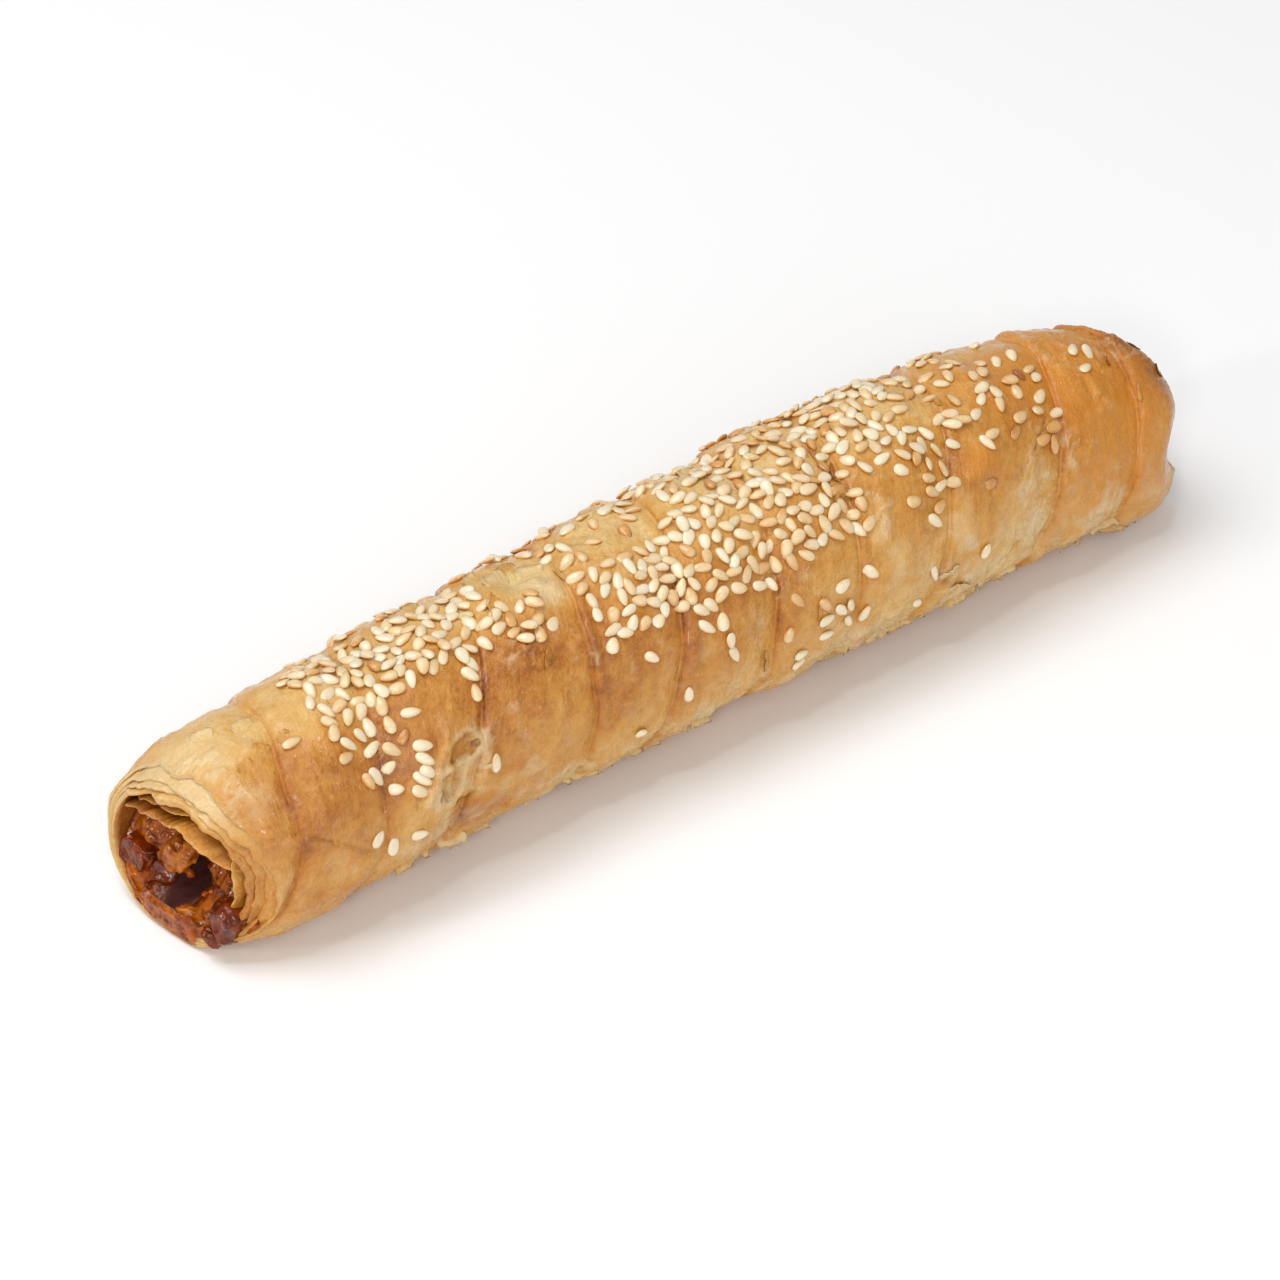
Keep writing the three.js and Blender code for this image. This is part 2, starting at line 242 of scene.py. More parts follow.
@dataclass(frozen=True)
class Roll:
    """The form of the roll as the solids have it: its bare section, its ends, its wall and its bore."""

    length: float = 194.0
    base_cut: float = 2.4
    middle_x: float = -3.2
    middle_y: float = -0.81
    # distance, front half width, back half width, height of the crown
    form: tuple[tuple[float, float, float, float], ...] = (
        (0, 17.0, 16.8, 29.6), (14, 18.4, 17.6, 32.0), (32, 18.7, 18.2, 33.7), (62, 18.2, 18.2, 35.0),
        (95, 19.2, 18.9, 36.4), (120, 20.0, 19.4, 37.2), (148, 19.8, 18.7, 37.0), (166, 19.2, 17.9, 34.6),
        (182, 18.8, 17.1, 31.9), (194, 18.4, 16.6, 30.0),
    )
    near_lip: float = 1.5
    near_slant: float = 3.6
    near_slant_angle: float = 40.0
    near_draw: float = 4.0
    near_draw_angle: float = 5.0
    near_draw_width: float = 42.0
    near_reach: float = 45.0
    near_round: float = 1.6
    near_round_reach: float = 8.0
    far_notch: float = 4.5
    far_notch_angle: float = 4.0
    far_notch_width: float = 22.0
    far_draw: float = 5.0
    far_draw_angle: float = 118.0
    far_draw_width: float = 38.0
    far_reach: float = 25.0
    far_round: float = 1.6
    far_round_reach: float = 6.0
    wall_thin: float = 2.4
    wall_thick: float = 5.0
    wall_thick_angle: float = 60.0
    base_wall: float = 2.2

    def section(self, distance: Array) -> tuple[Array, Array, Array]:
        """Gives the bare section at distances along the roll.

        Args:
            distance: millimetres from the near end.

        Returns:
            Front half width, back half width and height of the crown.
        """
        keys = np.array(self.form)
        at = np.clip(distance, 0, self.length)
        knots = keys[:, 0]
        secants = np.diff(keys[:, 1:], axis=0) / np.diff(knots)[:, None]
        slopes = np.vstack([secants[:1], (secants[:-1] + secants[1:]) / 2, secants[-1:]])
        i = np.clip(np.searchsorted(knots, at, side="right") - 1, 0, len(knots) - 2)
        width = (knots[i + 1] - knots[i])[..., None]
        t = (at - knots[i])[..., None] / width
        first, last = keys[i, 1:], keys[i + 1, 1:]
        rise = t * t * (3 - 2 * t)
        ease_in = width * slopes[i] * t * (1 - t) ** 2
        ease_out = width * slopes[i + 1] * t * t * (t - 1)
        values = first + (last - first) * rise + ease_in + ease_out
        return values[..., 0], values[..., 1], values[..., 2]

    def end_shift(self, distance: Array, angle: Array) -> Array:
        """Gives how far places near an end are moved along the roll.

        Args:
            distance: millimetres from the near end.
            angle: degrees round the roll.

        Returns:
            Millimetres towards the far end.
        """
        near = np.maximum(0, 1 - distance / self.near_reach) ** 2
        far = np.maximum(0, 1 - (self.length - distance) / self.far_reach) ** 2
        slant = self.near_slant * np.cos(np.radians(angle - self.near_slant_angle))
        front = self.near_draw * bump(turn_between(self.near_draw_angle, angle), self.near_draw_width)
        notch = self.far_notch * bump(turn_between(self.far_notch_angle, angle), self.far_notch_width)
        drawn = self.far_draw * bump(turn_between(self.far_draw_angle, angle), self.far_draw_width)
        return near * (slant + front - self.near_lip) - far * (notch + drawn)

    def end_round(self, distance: Array) -> Array:
        """Gives how far the outside turns in towards the ends.

        Args:
            distance: millimetres from the near end.

        Returns:
            Millimetres inwards.
        """
        near = np.maximum(0, 1 - distance / self.near_round_reach) ** 2
        far = np.maximum(0, 1 - (self.length - distance) / self.far_round_reach) ** 2
        return self.near_round * near + self.far_round * far

    def point(self, distance: Array, angle: Array, inset: Array, floor: float) -> Array:
        """Gives points of the bare roll moved inwards.

        Args:
            distance: millimetres from the near end.
            angle: degrees round the roll.
            inset: millimetres inwards.
            floor: lowest height that a point may have.

        Returns:
            Points in millimetres, with a last axis of three.
        """
        distance, angle, inset = np.broadcast_arrays(distance, angle, inset)
        front, back, crown = self.section(distance)
        turn = np.radians(angle)
        half = np.where(np.cos(turn) > 0, front, back)
        rise = (crown + self.base_cut) / 2
        x = distance - self.length / 2 - self.middle_x + self.end_shift(distance, angle)
        y = -(half - inset) * np.cos(turn) - self.middle_y
        z = np.maximum(rise - self.base_cut + (rise - inset) * np.sin(turn), floor)
        return np.stack([x, y, z], -1)

    def wall(self, angle: Array) -> Array:
        """Gives the thickness of the wall of wound layers."""
        lean = np.cos(np.radians(angle - self.wall_thick_angle))
        return self.wall_thin + (self.wall_thick - self.wall_thin) * (1 + lean) / 2

    def bore(self, distance: Array, angle: Array, gap: Array) -> Array:
        """Gives points of the bore, less a gap."""
        return self.point(distance, angle, self.wall(angle) + gap, self.base_wall + float(np.max(gap)))


@dataclass(frozen=True)
class Crease:
    """A fold line: its places, width, depth (negative for a ridge), stain with painted shade, and lapped
    step.
    """

    path: tuple[Place, ...]
    width: float
    depth: float
    stain: float
    step: float = 0.0
    step_rise: Range = (-0.15, 0.25)
    step_run: float = 2.2

    def offset(self, along: Array, angle: Array) -> Array:
        """Gives how far places lie from the line.

        Args:
            along: millimetres from the near end.
            angle: degrees round the roll.

        Returns:
            Millimetres over the roll's outside, negative to the right of the line's run.
        """
        here = np.stack(np.broadcast_arrays(along, angle * DEGREE), -1)
        nearest = np.full(here.shape[:-1], np.inf)
        for first, last in zip(self.path, self.path[1:]):
            start = np.array([first[0], first[1] * DEGREE])
            run = np.array([last[0], last[1] * DEGREE]) - start
            share = np.clip(((here - start) @ run) / (run @ run), 0, 1)
            gap = here - start - share[..., None] * run
            side = np.where(run[0] * gap[..., 1] - run[1] * gap[..., 0] < 0, -1, 1)
            far = np.hypot(gap[..., 0], gap[..., 1])
            nearest = np.where(far < np.abs(nearest), side * far, nearest)
        return nearest

    def height(self, along: Array, angle: Array) -> Array:
        """Gives the height of the fold.

        Args:
            along: millimetres from the near end.
            angle: degrees round the roll.

        Returns:
            Millimetres outwards.
        """
        offset = self.offset(along, angle)
        lapped = smoothstep(offset, *self.step_rise) * np.exp(-np.abs(offset) / self.step_run)
        return self.step * lapped - self.depth * bump(offset, self.width)


@dataclass(frozen=True)
class Spot:
    """A soft round region of the pastry: its place, its half sizes and how much it adds there."""

    along: float
    angle: float
    half_along: float
    half_angle: float
    adds: float

    def share(self, along: Array, angle: Array) -> Array:
        """Gives what the region adds at places."""
        across = bump(turn_between(self.angle, angle), self.half_angle)
        return self.adds * bump(along - self.along, self.half_along) * across


@dataclass(frozen=True)
class Panel:
    """A region with clear edges, where layers of dough lie over each other: its corners and what it adds."""

    corners: tuple[Place, ...]
    adds: float
    soft: float = 0.6

    def inside(self, along: Array, angle: Array) -> Array:
        """Gives how far places lie inside the region.

        Args:
            along: millimetres from the near end.
            angle: degrees round the roll.

        Returns:
            Millimetres over the roll's outside, negative outside the region.
        """
        along, angle = np.broadcast_arrays(along, angle)
        inside = np.full(along.shape, np.inf)
        points = [np.array([s, a * DEGREE]) for s, a in self.corners]
        for first, last in zip(points, [*points[1:], points[0]]):
            run = (last - first) / np.linalg.norm(last - first)
            depth = run[0] * (angle * DEGREE - first[1]) - run[1] * (along - first[0])
            inside = np.minimum(inside, depth)
        return inside

    def share(self, along: Array, angle: Array) -> Array:
        """Gives what the region adds at places, fading over its soft edge."""
        return self.adds * smoothstep(self.inside(along, angle), -self.soft, self.soft)


@dataclass(frozen=True)
class Cloud:
    """A cloudy pattern over the outside: size of its spots, where its field is read, and its layers."""

    grain: float
    shift: float
    octaves: int = 1

    def over(self, noise: Noise, along: Array, angle: Array) -> Array:
        """Reads the pattern from its field at places on the outside: about -1.5 to 1.5."""
        ring = around(angle, self.grain)
        return noise.layered(along / self.grain + self.shift, *ring, octaves=self.octaves)


@dataclass(frozen=True)
class Baking:
    """How far each feature of the outside browns, stains or bares the dough."""

    cloud: Cloud = Cloud(7, 40, 4)
    cloud_brown: float = 0.06
    streak_brown: float = 0.05
    lap_brown: float = 0.12
    lap_end_brown: float = -0.05
    edge_brown: float = 0.09
    edge_half: float = 1.1
    # the stain and painted shade along a turn's edge: its half width, its unbroken share, and the angles it
    # fades in over
    seam_half: float = 0.3
    seam_whole: float = 0.45
    seam_break: Cloud = Cloud(5, 7)
    seam_low: Range = (-24, 14)
    # painted shade inside the small holes
    pit_shade: float = 0.9
    # the open blisters: browned inside, stained and painted with shade just within their rims, and bare
    # outside them
    hollow_brown: float = 0.08
    hollow_stain_and_shade: float = 0.9
    hollow_pale: float = 0.5
    # bare mottling, stronger on the front below these angles
    mottle: Cloud = Cloud(4, 21, 4)
    mottle_pale: float = 0.12
    mottle_front_pale: float = 0.2
    mottle_front: Range = (60, 24)
    pucker_pale: float = 0.4
    flake_pale: float = 0.28
    flake_brown: float = 0.14
    flake_stain: float = 0.16


@dataclass
class Surface:
    """The outside of the pastry: laps, swellings, pleats, creases and blisters, and how it has baked."""

    roll: Roll
    # where each turn's edge crosses the crown, and how far it leans per degree over the front
    seams: tuple[Place, ...] = (
        (15.8, 0.125), (32.5, 0.1), (55.5, 0.16), (72.5, 0.076), (92, 0.12), (109, 0.09), (125.5, 0.08),
        (149, 0.15), (173, 0.133), (188.5, 0.1),
    )
    # how dark the stain and painted shade along each turn's edge are, the first of them the near end
    seam_stain_and_shade: tuple[float, ...] = (0, 0.28, 0.05, 0.36, 0.44, 0.4, 0.36, 0.18, 0.32, 0.36, 0.32)
    back_lean: float = 0.06
    back_lean_fade: float = 30.0
    lean_turn: float = 135.0
    seam_wander: float = 0.5
    # how far each turn's edge stands, in the same order
    seam_steps: tuple[float, ...] = (0.4, 0.7, 0.25, 0.8, 0.8, 0.8, 0.8, 0.6, 0.75, 0.8, 0.8)
    seam_round: float = 0.45
    groove_depth: float = 0.14
    groove_half: float = 0.7
    lap_fall: float = 1.4
    strip_bulge: float = 0.75
    relief_low: float = -52.0
    relief_fade: float = 22.0
    uneven: float = 0.35
    uneven_length: float = 33.0
    uneven_turn: float = 103.0
    lump_height: float = 0.5
    lump_cloud: Cloud = Cloud(9, 0, 3)
    pleat_height: float = 0.3
    pleat_grain: float = 2.2
    pleat_run: float = 11.0
    pleat_least: float = 0.35
    pucker_height: float = 0.3
    pucker_half: float = 0.15
    pucker_grain: float = 4.2
    pucker_run: float = 7.0
    pucker_drift_cloud: Cloud = Cloud(5, 60)
    pucker_patch: Cloud = Cloud(12, 80)
    blister_count: int = 90
    blister_seed: int = 5
    blister_along: Range = (6, 190)
    blister_angle: Range = (-25, 205)
    blister_size: Range = (0.7, 2.2)
    blister_height: Range = (0.1, 0.32)
    swellings: tuple[Spot, ...] = each(Spot, (
        (45, -38, 16, 34, -1.2), (28, -34, 7, 22, -1.0), (100, -46, 70, 24, -1.5), (41, 18, 5, 14, -0.9),
        (66, 98, 4.5, 9, -1.1), (69.4, 82, 2.0, 5, 0.7), (65.6, 78, 1.6, 4, 0.6), (67.6, 92, 1.5, 4, 0.6),
        (61, 92, 1.8, 5, 0.5), (12, 82, 2.0, 5, 0.5), (191, 84, 1.4, 4, 0.6), (192, 62, 1.2, 4, 0.5),
        (149, 41, 4, 10, 0.9), (181, -32, 9, 26, 1.4),
    ))
    # small holes, with painted shade inside
    pits: tuple[Spot, ...] = each(Spot, (
        (40.2, 2.5, 1.2, 1.8, -0.8), (121.5, 55, 1.6, 3.5, -0.9), (136.5, -5, 1.1, 2.2, -0.8),
        (148.6, 33, 1.5, 3.4, -0.6), (153, -6, 0.9, 2.2, -0.6), (150.8, -10, 0.7, 1.6, -0.5),
        (61.8, 50, 1.0, 2.4, -0.4), (142, 9.5, 1.3, 3.0, -0.3),
    ))
    # the open blisters of the torn place, with frayed rims
    hollows: tuple[Panel, ...] = each(Panel, (
        (((39.4, 28), (43.8, 26.5), (45, 30), (43.6, 36), (40.4, 34)), -1.5, 0.35),
        (((35.8, 14), (38.4, 9.5), (40.8, 16), (41.6, 22), (37.2, 23.5)), -1.3, 0.4),
    ))
    hollow_rim: float = 0.45
    hollow_fray: float = 0.5
    fray: Cloud = Cloud(1.6, 31, 3)
    creases: tuple[Crease, ...] = each(Crease, (
        (((8.3, 33), (4, 36), (1, 37)), 0.35, 0.3, 0.3, 0.5),
        (((21, 4), (15.6, 18), (8.3, 33)), 0.35, 0.3, 0.35, 0.6),
        (((11.6, 51), (15, 46), (19.5, 41)), 0.3, 0.2, 0.25, -0.3),
        (((33, 15), (36.4, 27), (40, 40), (43, 52)), 0.75, -0.5, -0.2),
        (((44.4, 7), (46.2, 20), (45.8, 32), (43.8, 39)), 0.75, -0.45, -0.2),
        (((37, 23.5), (40, 27.5), (44.6, 26)), 0.6, -0.35, -0.1),
        (((43.2, 38), (44.8, 34), (45, 28.5)), 0.28, 0.4, 0.8),
        (((37.6, 11), (36.2, 18), (36.8, 24)), 0.3, 0.3, 0.5),
        (((38.6, 4), (41.5, 2.6), (43, 8)), 0.3, 0.35, 0.6),
        (((31, 17), (34.6, 26.5), (39, 39.5)), 0.3, 0.25, 0.35),
        (((46.5, 6), (49.5, -3), (53, 3), (57, 1)), 0.35, -0.2, -0.15),
        (((48, 9), (52, 12), (55, 6)), 0.35, -0.2, -0.15), (((53, 27), (55.5, 30)), 0.25, 0.15, 0.3),
        (((58, 51), (60.6, 46.8), (63, 48.6), (65.4, 54)), 0.3, 0.25, 0.6, 0.3),
        (((60.4, 50), (61.6, 53), (62.8, 50), (61.6, 47.4)), 0.25, -0.3, 0.2),
        (((71.6, 64), (70.6, 46), (69.6, 28), (68.8, 10)), 0.35, 0.15, 0.4, -0.45),
        (((73.6, 40), (72.8, 25), (72, 8)), 0.4, 0.1, 0.12, 0.25),
        (((77, 38), (76, 22), (75, 6)), 0.5, 0.12, 0.12, -0.25),
        (((80.5, 34), (79.4, 18), (78.6, 4)), 0.5, 0.12, 0.1, 0.25),
        (((88.6, 36), (87, 16), (85.6, -2)), 0.6, 0.12, 0.12, -0.3),
        (((96, 32), (94.6, 15), (91, 2), (87.6, -4)), 0.5, 0.15, 0.2, 0.35),
        (((99.4, 32), (98.4, 10)), 0.5, 0.1, 0.1, -0.25), (((107, 30), (106.2, 10)), 0.6, 0.14, 0.12, 0.2),
        (((113, 34), (112, 20)), 0.6, 0.12, 0.1),
        (((128.6, 56), (126.4, 34), (126.8, 22), (130, 14)), 0.6, -0.25, -0.1),
        (((124, 50), (123, 36), (121.4, 22)), 0.6, 0.15, 0.12),
        (((133.6, 36), (136, 34), (137.6, 27), (135.4, 22.5), (133.8, 27)), 0.5, 0.3, 0.3),
        (((165, 54), (163, 48), (161.7, 44.7), (158.9, 39)), 0.22, 0.35, 0.9),
        (((155, 40), (153, 24), (150, 12)), 0.6, 0.14, 0.05),
        (((177, 54), (175.4, 30), (174.6, 8)), 0.5, 0.12, 0.1, 0.3),
        (((173, 46), (171.8, 30), (170.8, 12)), 0.5, -0.15, -0.1),
        (((171, 2), (169.2, -3), (170.4, -9), (172, -6)), 0.35, -0.25, -0.3),
        (((186, 62), (183, 46), (181, 30), (180.2, 10)), 0.4, 0.15, 0.2, 0.2),
        (((24, 6), (33, -6)), 0.5, 0.2, 0.2), (((40, 160), (60, 140), (74, 150)), 0.5, 0.2, 0.2, 0.3),
        (((100, 150), (118, 132), (132, 140)), 0.5, 0.2, 0.2, 0.3),
        (((140, 170), (154, 150), (166, 160)), 0.5, 0.2, 0.2, 0.3),
    ))
    # where the dough has broken into layers of flakes
    flaky: tuple[Spot, ...] = each(Spot, (
        (66, -20, 46, 13, 1.0), (140, -17, 36, 13, 1.0), (100, 206, 90, 14, 0.9), (13, 84, 10, 10, 0.6),
        (44.6, 14, 2.4, 14, 0.8), (67, 86, 4, 12, 0.7), (123, 76, 2.4, 14, 0.8), (2, 92, 4, 40, 0.5),
        (191, 72, 4, 34, 1.0), (110, 135, 40, 20, 0.3),
    ))
    flake_step: float = 0.5
    flake_levels: float = 3.2
    flake_cloud: Cloud = Cloud(5.5, 3, 4)
    # browning by angle, from the tray's side round the front, the crown and the back
    baked: tuple[Place, ...] = (
        (-90, 0.58), (-62, 0.52), (-45, 0.4), (-20, 0.36), (0, 0.4), (15, 0.5), (35, 0.55), (55, 0.54),
        (66, 0.46), (78, 0.28), (92, 0.14), (108, 0.12), (125, 0.24), (145, 0.46), (170, 0.52), (195, 0.42),
        (225, 0.4), (242, 0.52), (270, 0.58),
    )
    # where it has browned more than that, or less
    browned: tuple[Spot, ...] = each(Spot, (
        (25, 50, 17, 20, 0.14), (18, 24, 8, 14, 0.12), (60, 58, 12, 20, 0.2), (80, 30, 16, 24, 0.08),
        (72, 17, 4, 12, 0.12), (96, 36, 3, 6, 0.12), (49, -12, 3, 8, 0.2), (163, 82, 12, 20, 0.12),
        (186, 70, 6, 22, 0.16), (192.5, 72, 2.8, 34, 0.36), (165, 60, 6, 12, 0.08), (148, 42, 3, 8, 0.1),
        (6, 90, 10, 14, 0.1), (44, 78, 7, 14, 0.14), (41, -8, 8, 12, 0.34), (59, -1, 7, 12, 0.14),
        (44, 42, 4, 14, 0.12), (132, 32, 4, 12, 0.12), (160, 58, 6, 14, 0.1), (184, 90, 7, 20, 0.12),
        (12, 15, 5, 10, -0.12), (124, 42, 4, 14, -0.12), (188, 36, 4, 10, -0.1), (76, 62, 4, 14, -0.13),
        (91, 65, 4, 10, -0.12), (131, 72, 4, 10, -0.14), (148, 61, 5, 13, -0.11), (12, 76, 5, 6, 0.1),
        (35, 86, 5, 12, -0.15), (15, -16, 7, 9, 0.14), (172, 92, 18, 14, 0.16), (189, 70, 4.5, 26, 0.32),
        (180, 62, 12, 34, 0.06), (188, 24, 5, 12, -0.15), (108, 72, 8, 30, -0.2), (84, 66, 4, 12, -0.14),
        (132, 34, 10, 20, -0.1), (141, 24, 4, 12, -0.14), (30, 4, 9, 12, -0.12), (124, 15, 14, 25, -0.12),
        (124, -8, 14, 14, -0.12), (150, 8, 10, 16, -0.16), (158, 24, 5, 12, -0.16),
        (152, -18, 12, 12, -0.12), (60, 150, 20, 25, 0.12), (105, 160, 14, 22, 0.15),
        (160, 150, 16, 28, 0.18), (192, 135, 9, 50, 0.28),
    ))
    # where egg wash has baked to an orange glaze
    glazed: tuple[Spot, ...] = each(Spot, (
        (180, 40, 18, 70, 1.0), (164, 86, 16, 26, 0.9), (148, 43, 4, 9, 0.8), (49, -12, 3, 9, 0.6),
        (18, 8, 6, 14, 0.5), (128, 36, 9, 14, 0.4), (60, 96, 3, 10, 0.6), (175, 150, 16, 40, 0.6),
        (90, 170, 20, 20, 0.4),
    ))
    # where bare layers of dough show
    pale: tuple[Spot, ...] = each(Spot, (
        (126.5, 28, 2.4, 22, 0.35), (141, 16, 3, 14, 0.4), (144, -6, 5, 8, 0.35), (158, 2, 4, 10, 0.3),
        (117, -16, 6, 8, 0.3), (52, 6, 5, 12, 0.25), (5, 98, 9, 20, 0.3), (6.5, 56, 4.5, 18, 0.3),
        (67.5, 84, 3.6, 11, 0.75), (142.4, 9.5, 1.6, 3, 0.5), (112, -26, 26, 12, 0.2), (33, -8, 12, 8, 0.3),
        (70, -24, 20, 10, 0.2), (88, -15, 3, 7, 0.5), (150, -22, 16, 12, 0.15), (156, 26, 4, 9, 0.3),
        (172, -6, 11, 10, 0.3),
    ))
    # layers that have browned more or less than their neighbours, and one that is bare
    panels: tuple[Panel, ...] = each(Panel, (
        (((1.5, 38), (8.7, 30), (11.1, 52), (13, 66), (6.5, 76), (2, 62)), 0.04),
        (((3, -12), (22, -12), (21, 5), (8.6, 28), (5, 10)), 0.08),
        (((30, 14), (36, -4), (44, 4), (47, 36), (43, 52)), -0.12),
    ))
    bare_panels: tuple[Panel, ...] = each(Panel, (
        (((31, 14), (36, -2), (44, 5), (47, 34), (43, 50)), 0.22, 1.2),
    ))
    baking: Baking = Baking()
    fine: Noise = field(default_factory=lambda: Noise(3))
    slow: Noise = field(default_factory=lambda: Noise(11))

    def __post_init__(self) -> None:
        """Scatters the blisters."""
        rng = np.random.default_rng(self.blister_seed)
        self.blisters = [
            Spot(
                rng.uniform(*self.blister_along),
                rng.uniform(*self.blister_angle),
                size,
                size / DEGREE,
                rng.uniform(*self.blister_height),
            )
            for size in rng.uniform(*self.blister_size, self.blister_count)
        ]

    def edges(self, angle: Array) -> Array:
        """Gives where the edges of the turns lie, the two ends among them.

        Args:
            angle: degrees round the roll.

        Returns:
            Distances from the near end, one row for each edge.
        """
        at = wrap(np.asarray(angle, dtype=float))
        turn = at - 90
        under = np.sign(turn) * self.lean_turn * (180 - np.abs(turn)) / (180 - self.lean_turn)
        turn = np.where(np.abs(turn) <= self.lean_turn, turn, under)
        ring = around(at, RADIUS / 1.6)
        rows = [np.zeros_like(turn)]
        for number, (crown, lean) in enumerate(self.seams):
            fade = min(1.0, (self.roll.length - crown) / self.back_lean_fade)
            wander = self.slow.at(*ring, np.full_like(at, 3.7 * number))
            steady = crown + turn * np.where(turn < 0, lean, self.back_lean * fade)
            rows.append(steady + self.seam_wander * wander)
        rows.append(np.full_like(turn, self.roll.length))
        return np.stack(rows)

    def strip(self, along: Array, angle: Array) -> tuple[Array, Array, Array]:
        """Finds the turn of the strip that places lie on.

        Args:
            along: millimetres from the near end.
            angle: degrees round the roll.

        Returns:
            Number of the turn, share of the way across it, and millimetres past its edge.
        """
        along, angle = np.broadcast_arrays(along, angle)
        rows = self.edges(angle)
        number = np.sum(along >= rows[1:-1], axis=0)
        start = np.take_along_axis(rows, number[None], 0)[0]
        end = np.take_along_axis(rows, number[None] + 1, 0)[0]
        return number, np.clip((along - start) / (end - start), 0, 1), along - start

    def to_edge(self, along: Array, angle: Array) -> Array:
        """Gives how far places lie from the nearest edge of a turn."""
        return np.min(np.abs(along - self.edges(angle)[1:-1]), axis=0)

    def shown(self, angle: Array) -> Array:
        """Gives 1 where the relief stands and 0 on the flat underside."""
        above = np.minimum(wrap(angle), 180 - wrap(angle)) - self.relief_low
        return smoothstep(above, 0, self.relief_fade)

    def flakes(self, along: Array, angle: Array) -> tuple[Array, Array, Array]:
        """Gives the broken layers of the flaky regions.

        Args:
            along: millimetres from the near end.
            angle: degrees round the roll.

        Returns:
            Height of the layers, how near places are to a broken edge, and which layer shows, odd ones as 1.
        """
        amount = np.clip(sum(spot.share(along, angle) for spot in self.flaky), 0, 1)
        level = self.flake_levels * self.flake_cloud.over(self.fine, along, angle)
        floor = np.floor(level)
        part = level - floor
        height = floor + smoothstep(part, 0, 0.25) - 0.7 * level
        broken_edge = amount * bump(part, 0.08)
        return self.flake_step * amount * height, broken_edge, amount * np.mod(floor, 2)

    def puckers(self, along: Array, angle: Array) -> Array:
        """Gives the soft ridges where the thin dough has puckered.

        Args:
            along: millimetres from the near end.
            angle: degrees round the roll.

        Returns:
            1 on a ridge and 0 beside it.
        """
        drift = 0.8 * self.pucker_drift_cloud.over(self.slow, along, angle)
        ring = [axis + drift for axis in around(angle, self.pucker_run)]
        lines = self.fine.layered(along / self.pucker_grain + drift, *ring)
        patch = smoothstep(self.pucker_patch.over(self.slow, along, angle), -0.1, 0.4)
        return patch * bump(lines, self.pucker_half)

    def pleats(self, number: Array, past: Array, angle: Array, octaves: int) -> Array:
        """Gives the fine pleats round the roll, from the turn's number and the way past its edge."""
        across = past / self.pleat_grain + 9.0 * number
        return self.fine.layered(across, *around(angle, self.pleat_run), octaves=octaves)

    def height(self, along: Array, angle: Array) -> Array:
        """Gives the height of the relief above the bare roll.

        Args:
            along: millimetres from the near end.
            angle: degrees round the roll.

        Returns:
            Millimetres outwards.
        """
        along, angle = np.broadcast_arrays(along, angle)
        number, share, past = self.strip(along, angle)
        lap = np.take(self.seam_steps, number)
        height = lap * (1 - share) ** self.lap_fall + self.strip_bulge * np.sin(np.pi * share)
        rise = smoothstep(past, -0.1, self.seam_round)
        height = np.where(number > 0, height * rise, height)
        height = height - self.groove_depth * bump(self.to_edge(along, angle), self.groove_half)
        waves = np.sin(2 * np.pi * along / self.uneven_length)
        turns = np.sin(2 * np.pi * (wrap(angle) / self.uneven_turn - along / self.roll.length))
        height = height + self.uneven * waves * turns
        height = height + self.lump_height * self.lump_cloud.over(self.slow, along, angle)
        ring = around(angle, RADIUS / 2.1)
        patch = smoothstep(self.slow.at(along / 9.0, *ring), -0.4, 0.6)
        strength = self.pleat_least + (1 - self.pleat_least) * patch
        height = height + self.pleat_height * strength * self.pleats(number, past, angle, 2)
        for crease in self.creases:
            height = height + crease.height(along, angle)
        for form in [*self.blisters, *self.pits, *self.hollows]:
            height = height + form.share(along, angle)
        fray = self.fray.over(self.fine, along, angle)
        for hollow in self.hollows:
            outside = hollow.inside(along, angle) + 0.8 + self.hollow_fray * fray
            uneven = 0.7 + 0.6 * fray
            height = height + self.hollow_rim * bump(outside, 0.6) * uneven
        height = height + self.flakes(along, angle)[0] + self.pucker_height * self.puckers(along, angle)
        height = height * self.shown(angle)
        return height + sum(swelling.share(along, angle) for swelling in self.swellings)

    def at(self, along: Array, angle: Array, lift: Array = 0.0) -> Array:
        """Gives points of the outside, lifted by so many millimetres."""
        inset = self.roll.end_round(along) - self.height(along, angle) - lift
        return self.roll.point(along, angle, inset, 0.0)

    def axes(self, along: Array, angle: Array, reach: float = 1.6) -> tuple[Array, Array, Array]:
        """Gives the directions of the outside at places.

        Args:
            along: millimetres from the near end.
            angle: degrees round the roll.
            reach: millimetres to each side over which the surface is averaged.

        Returns:
            Unit vectors along the roll, round it, and out of it.
        """
        turn = reach / DEGREE
        lengthwise = self.at(along + reach, angle) - self.at(along - reach, angle)
        round_it = self.at(along, angle + turn) - self.at(along, angle - turn)
        out = np.cross(lengthwise, round_it)
        out /= np.linalg.norm(out, axis=-1, keepdims=True)
        lengthwise /= np.linalg.norm(lengthwise, axis=-1, keepdims=True)
        return lengthwise, np.cross(out, lengthwise), out

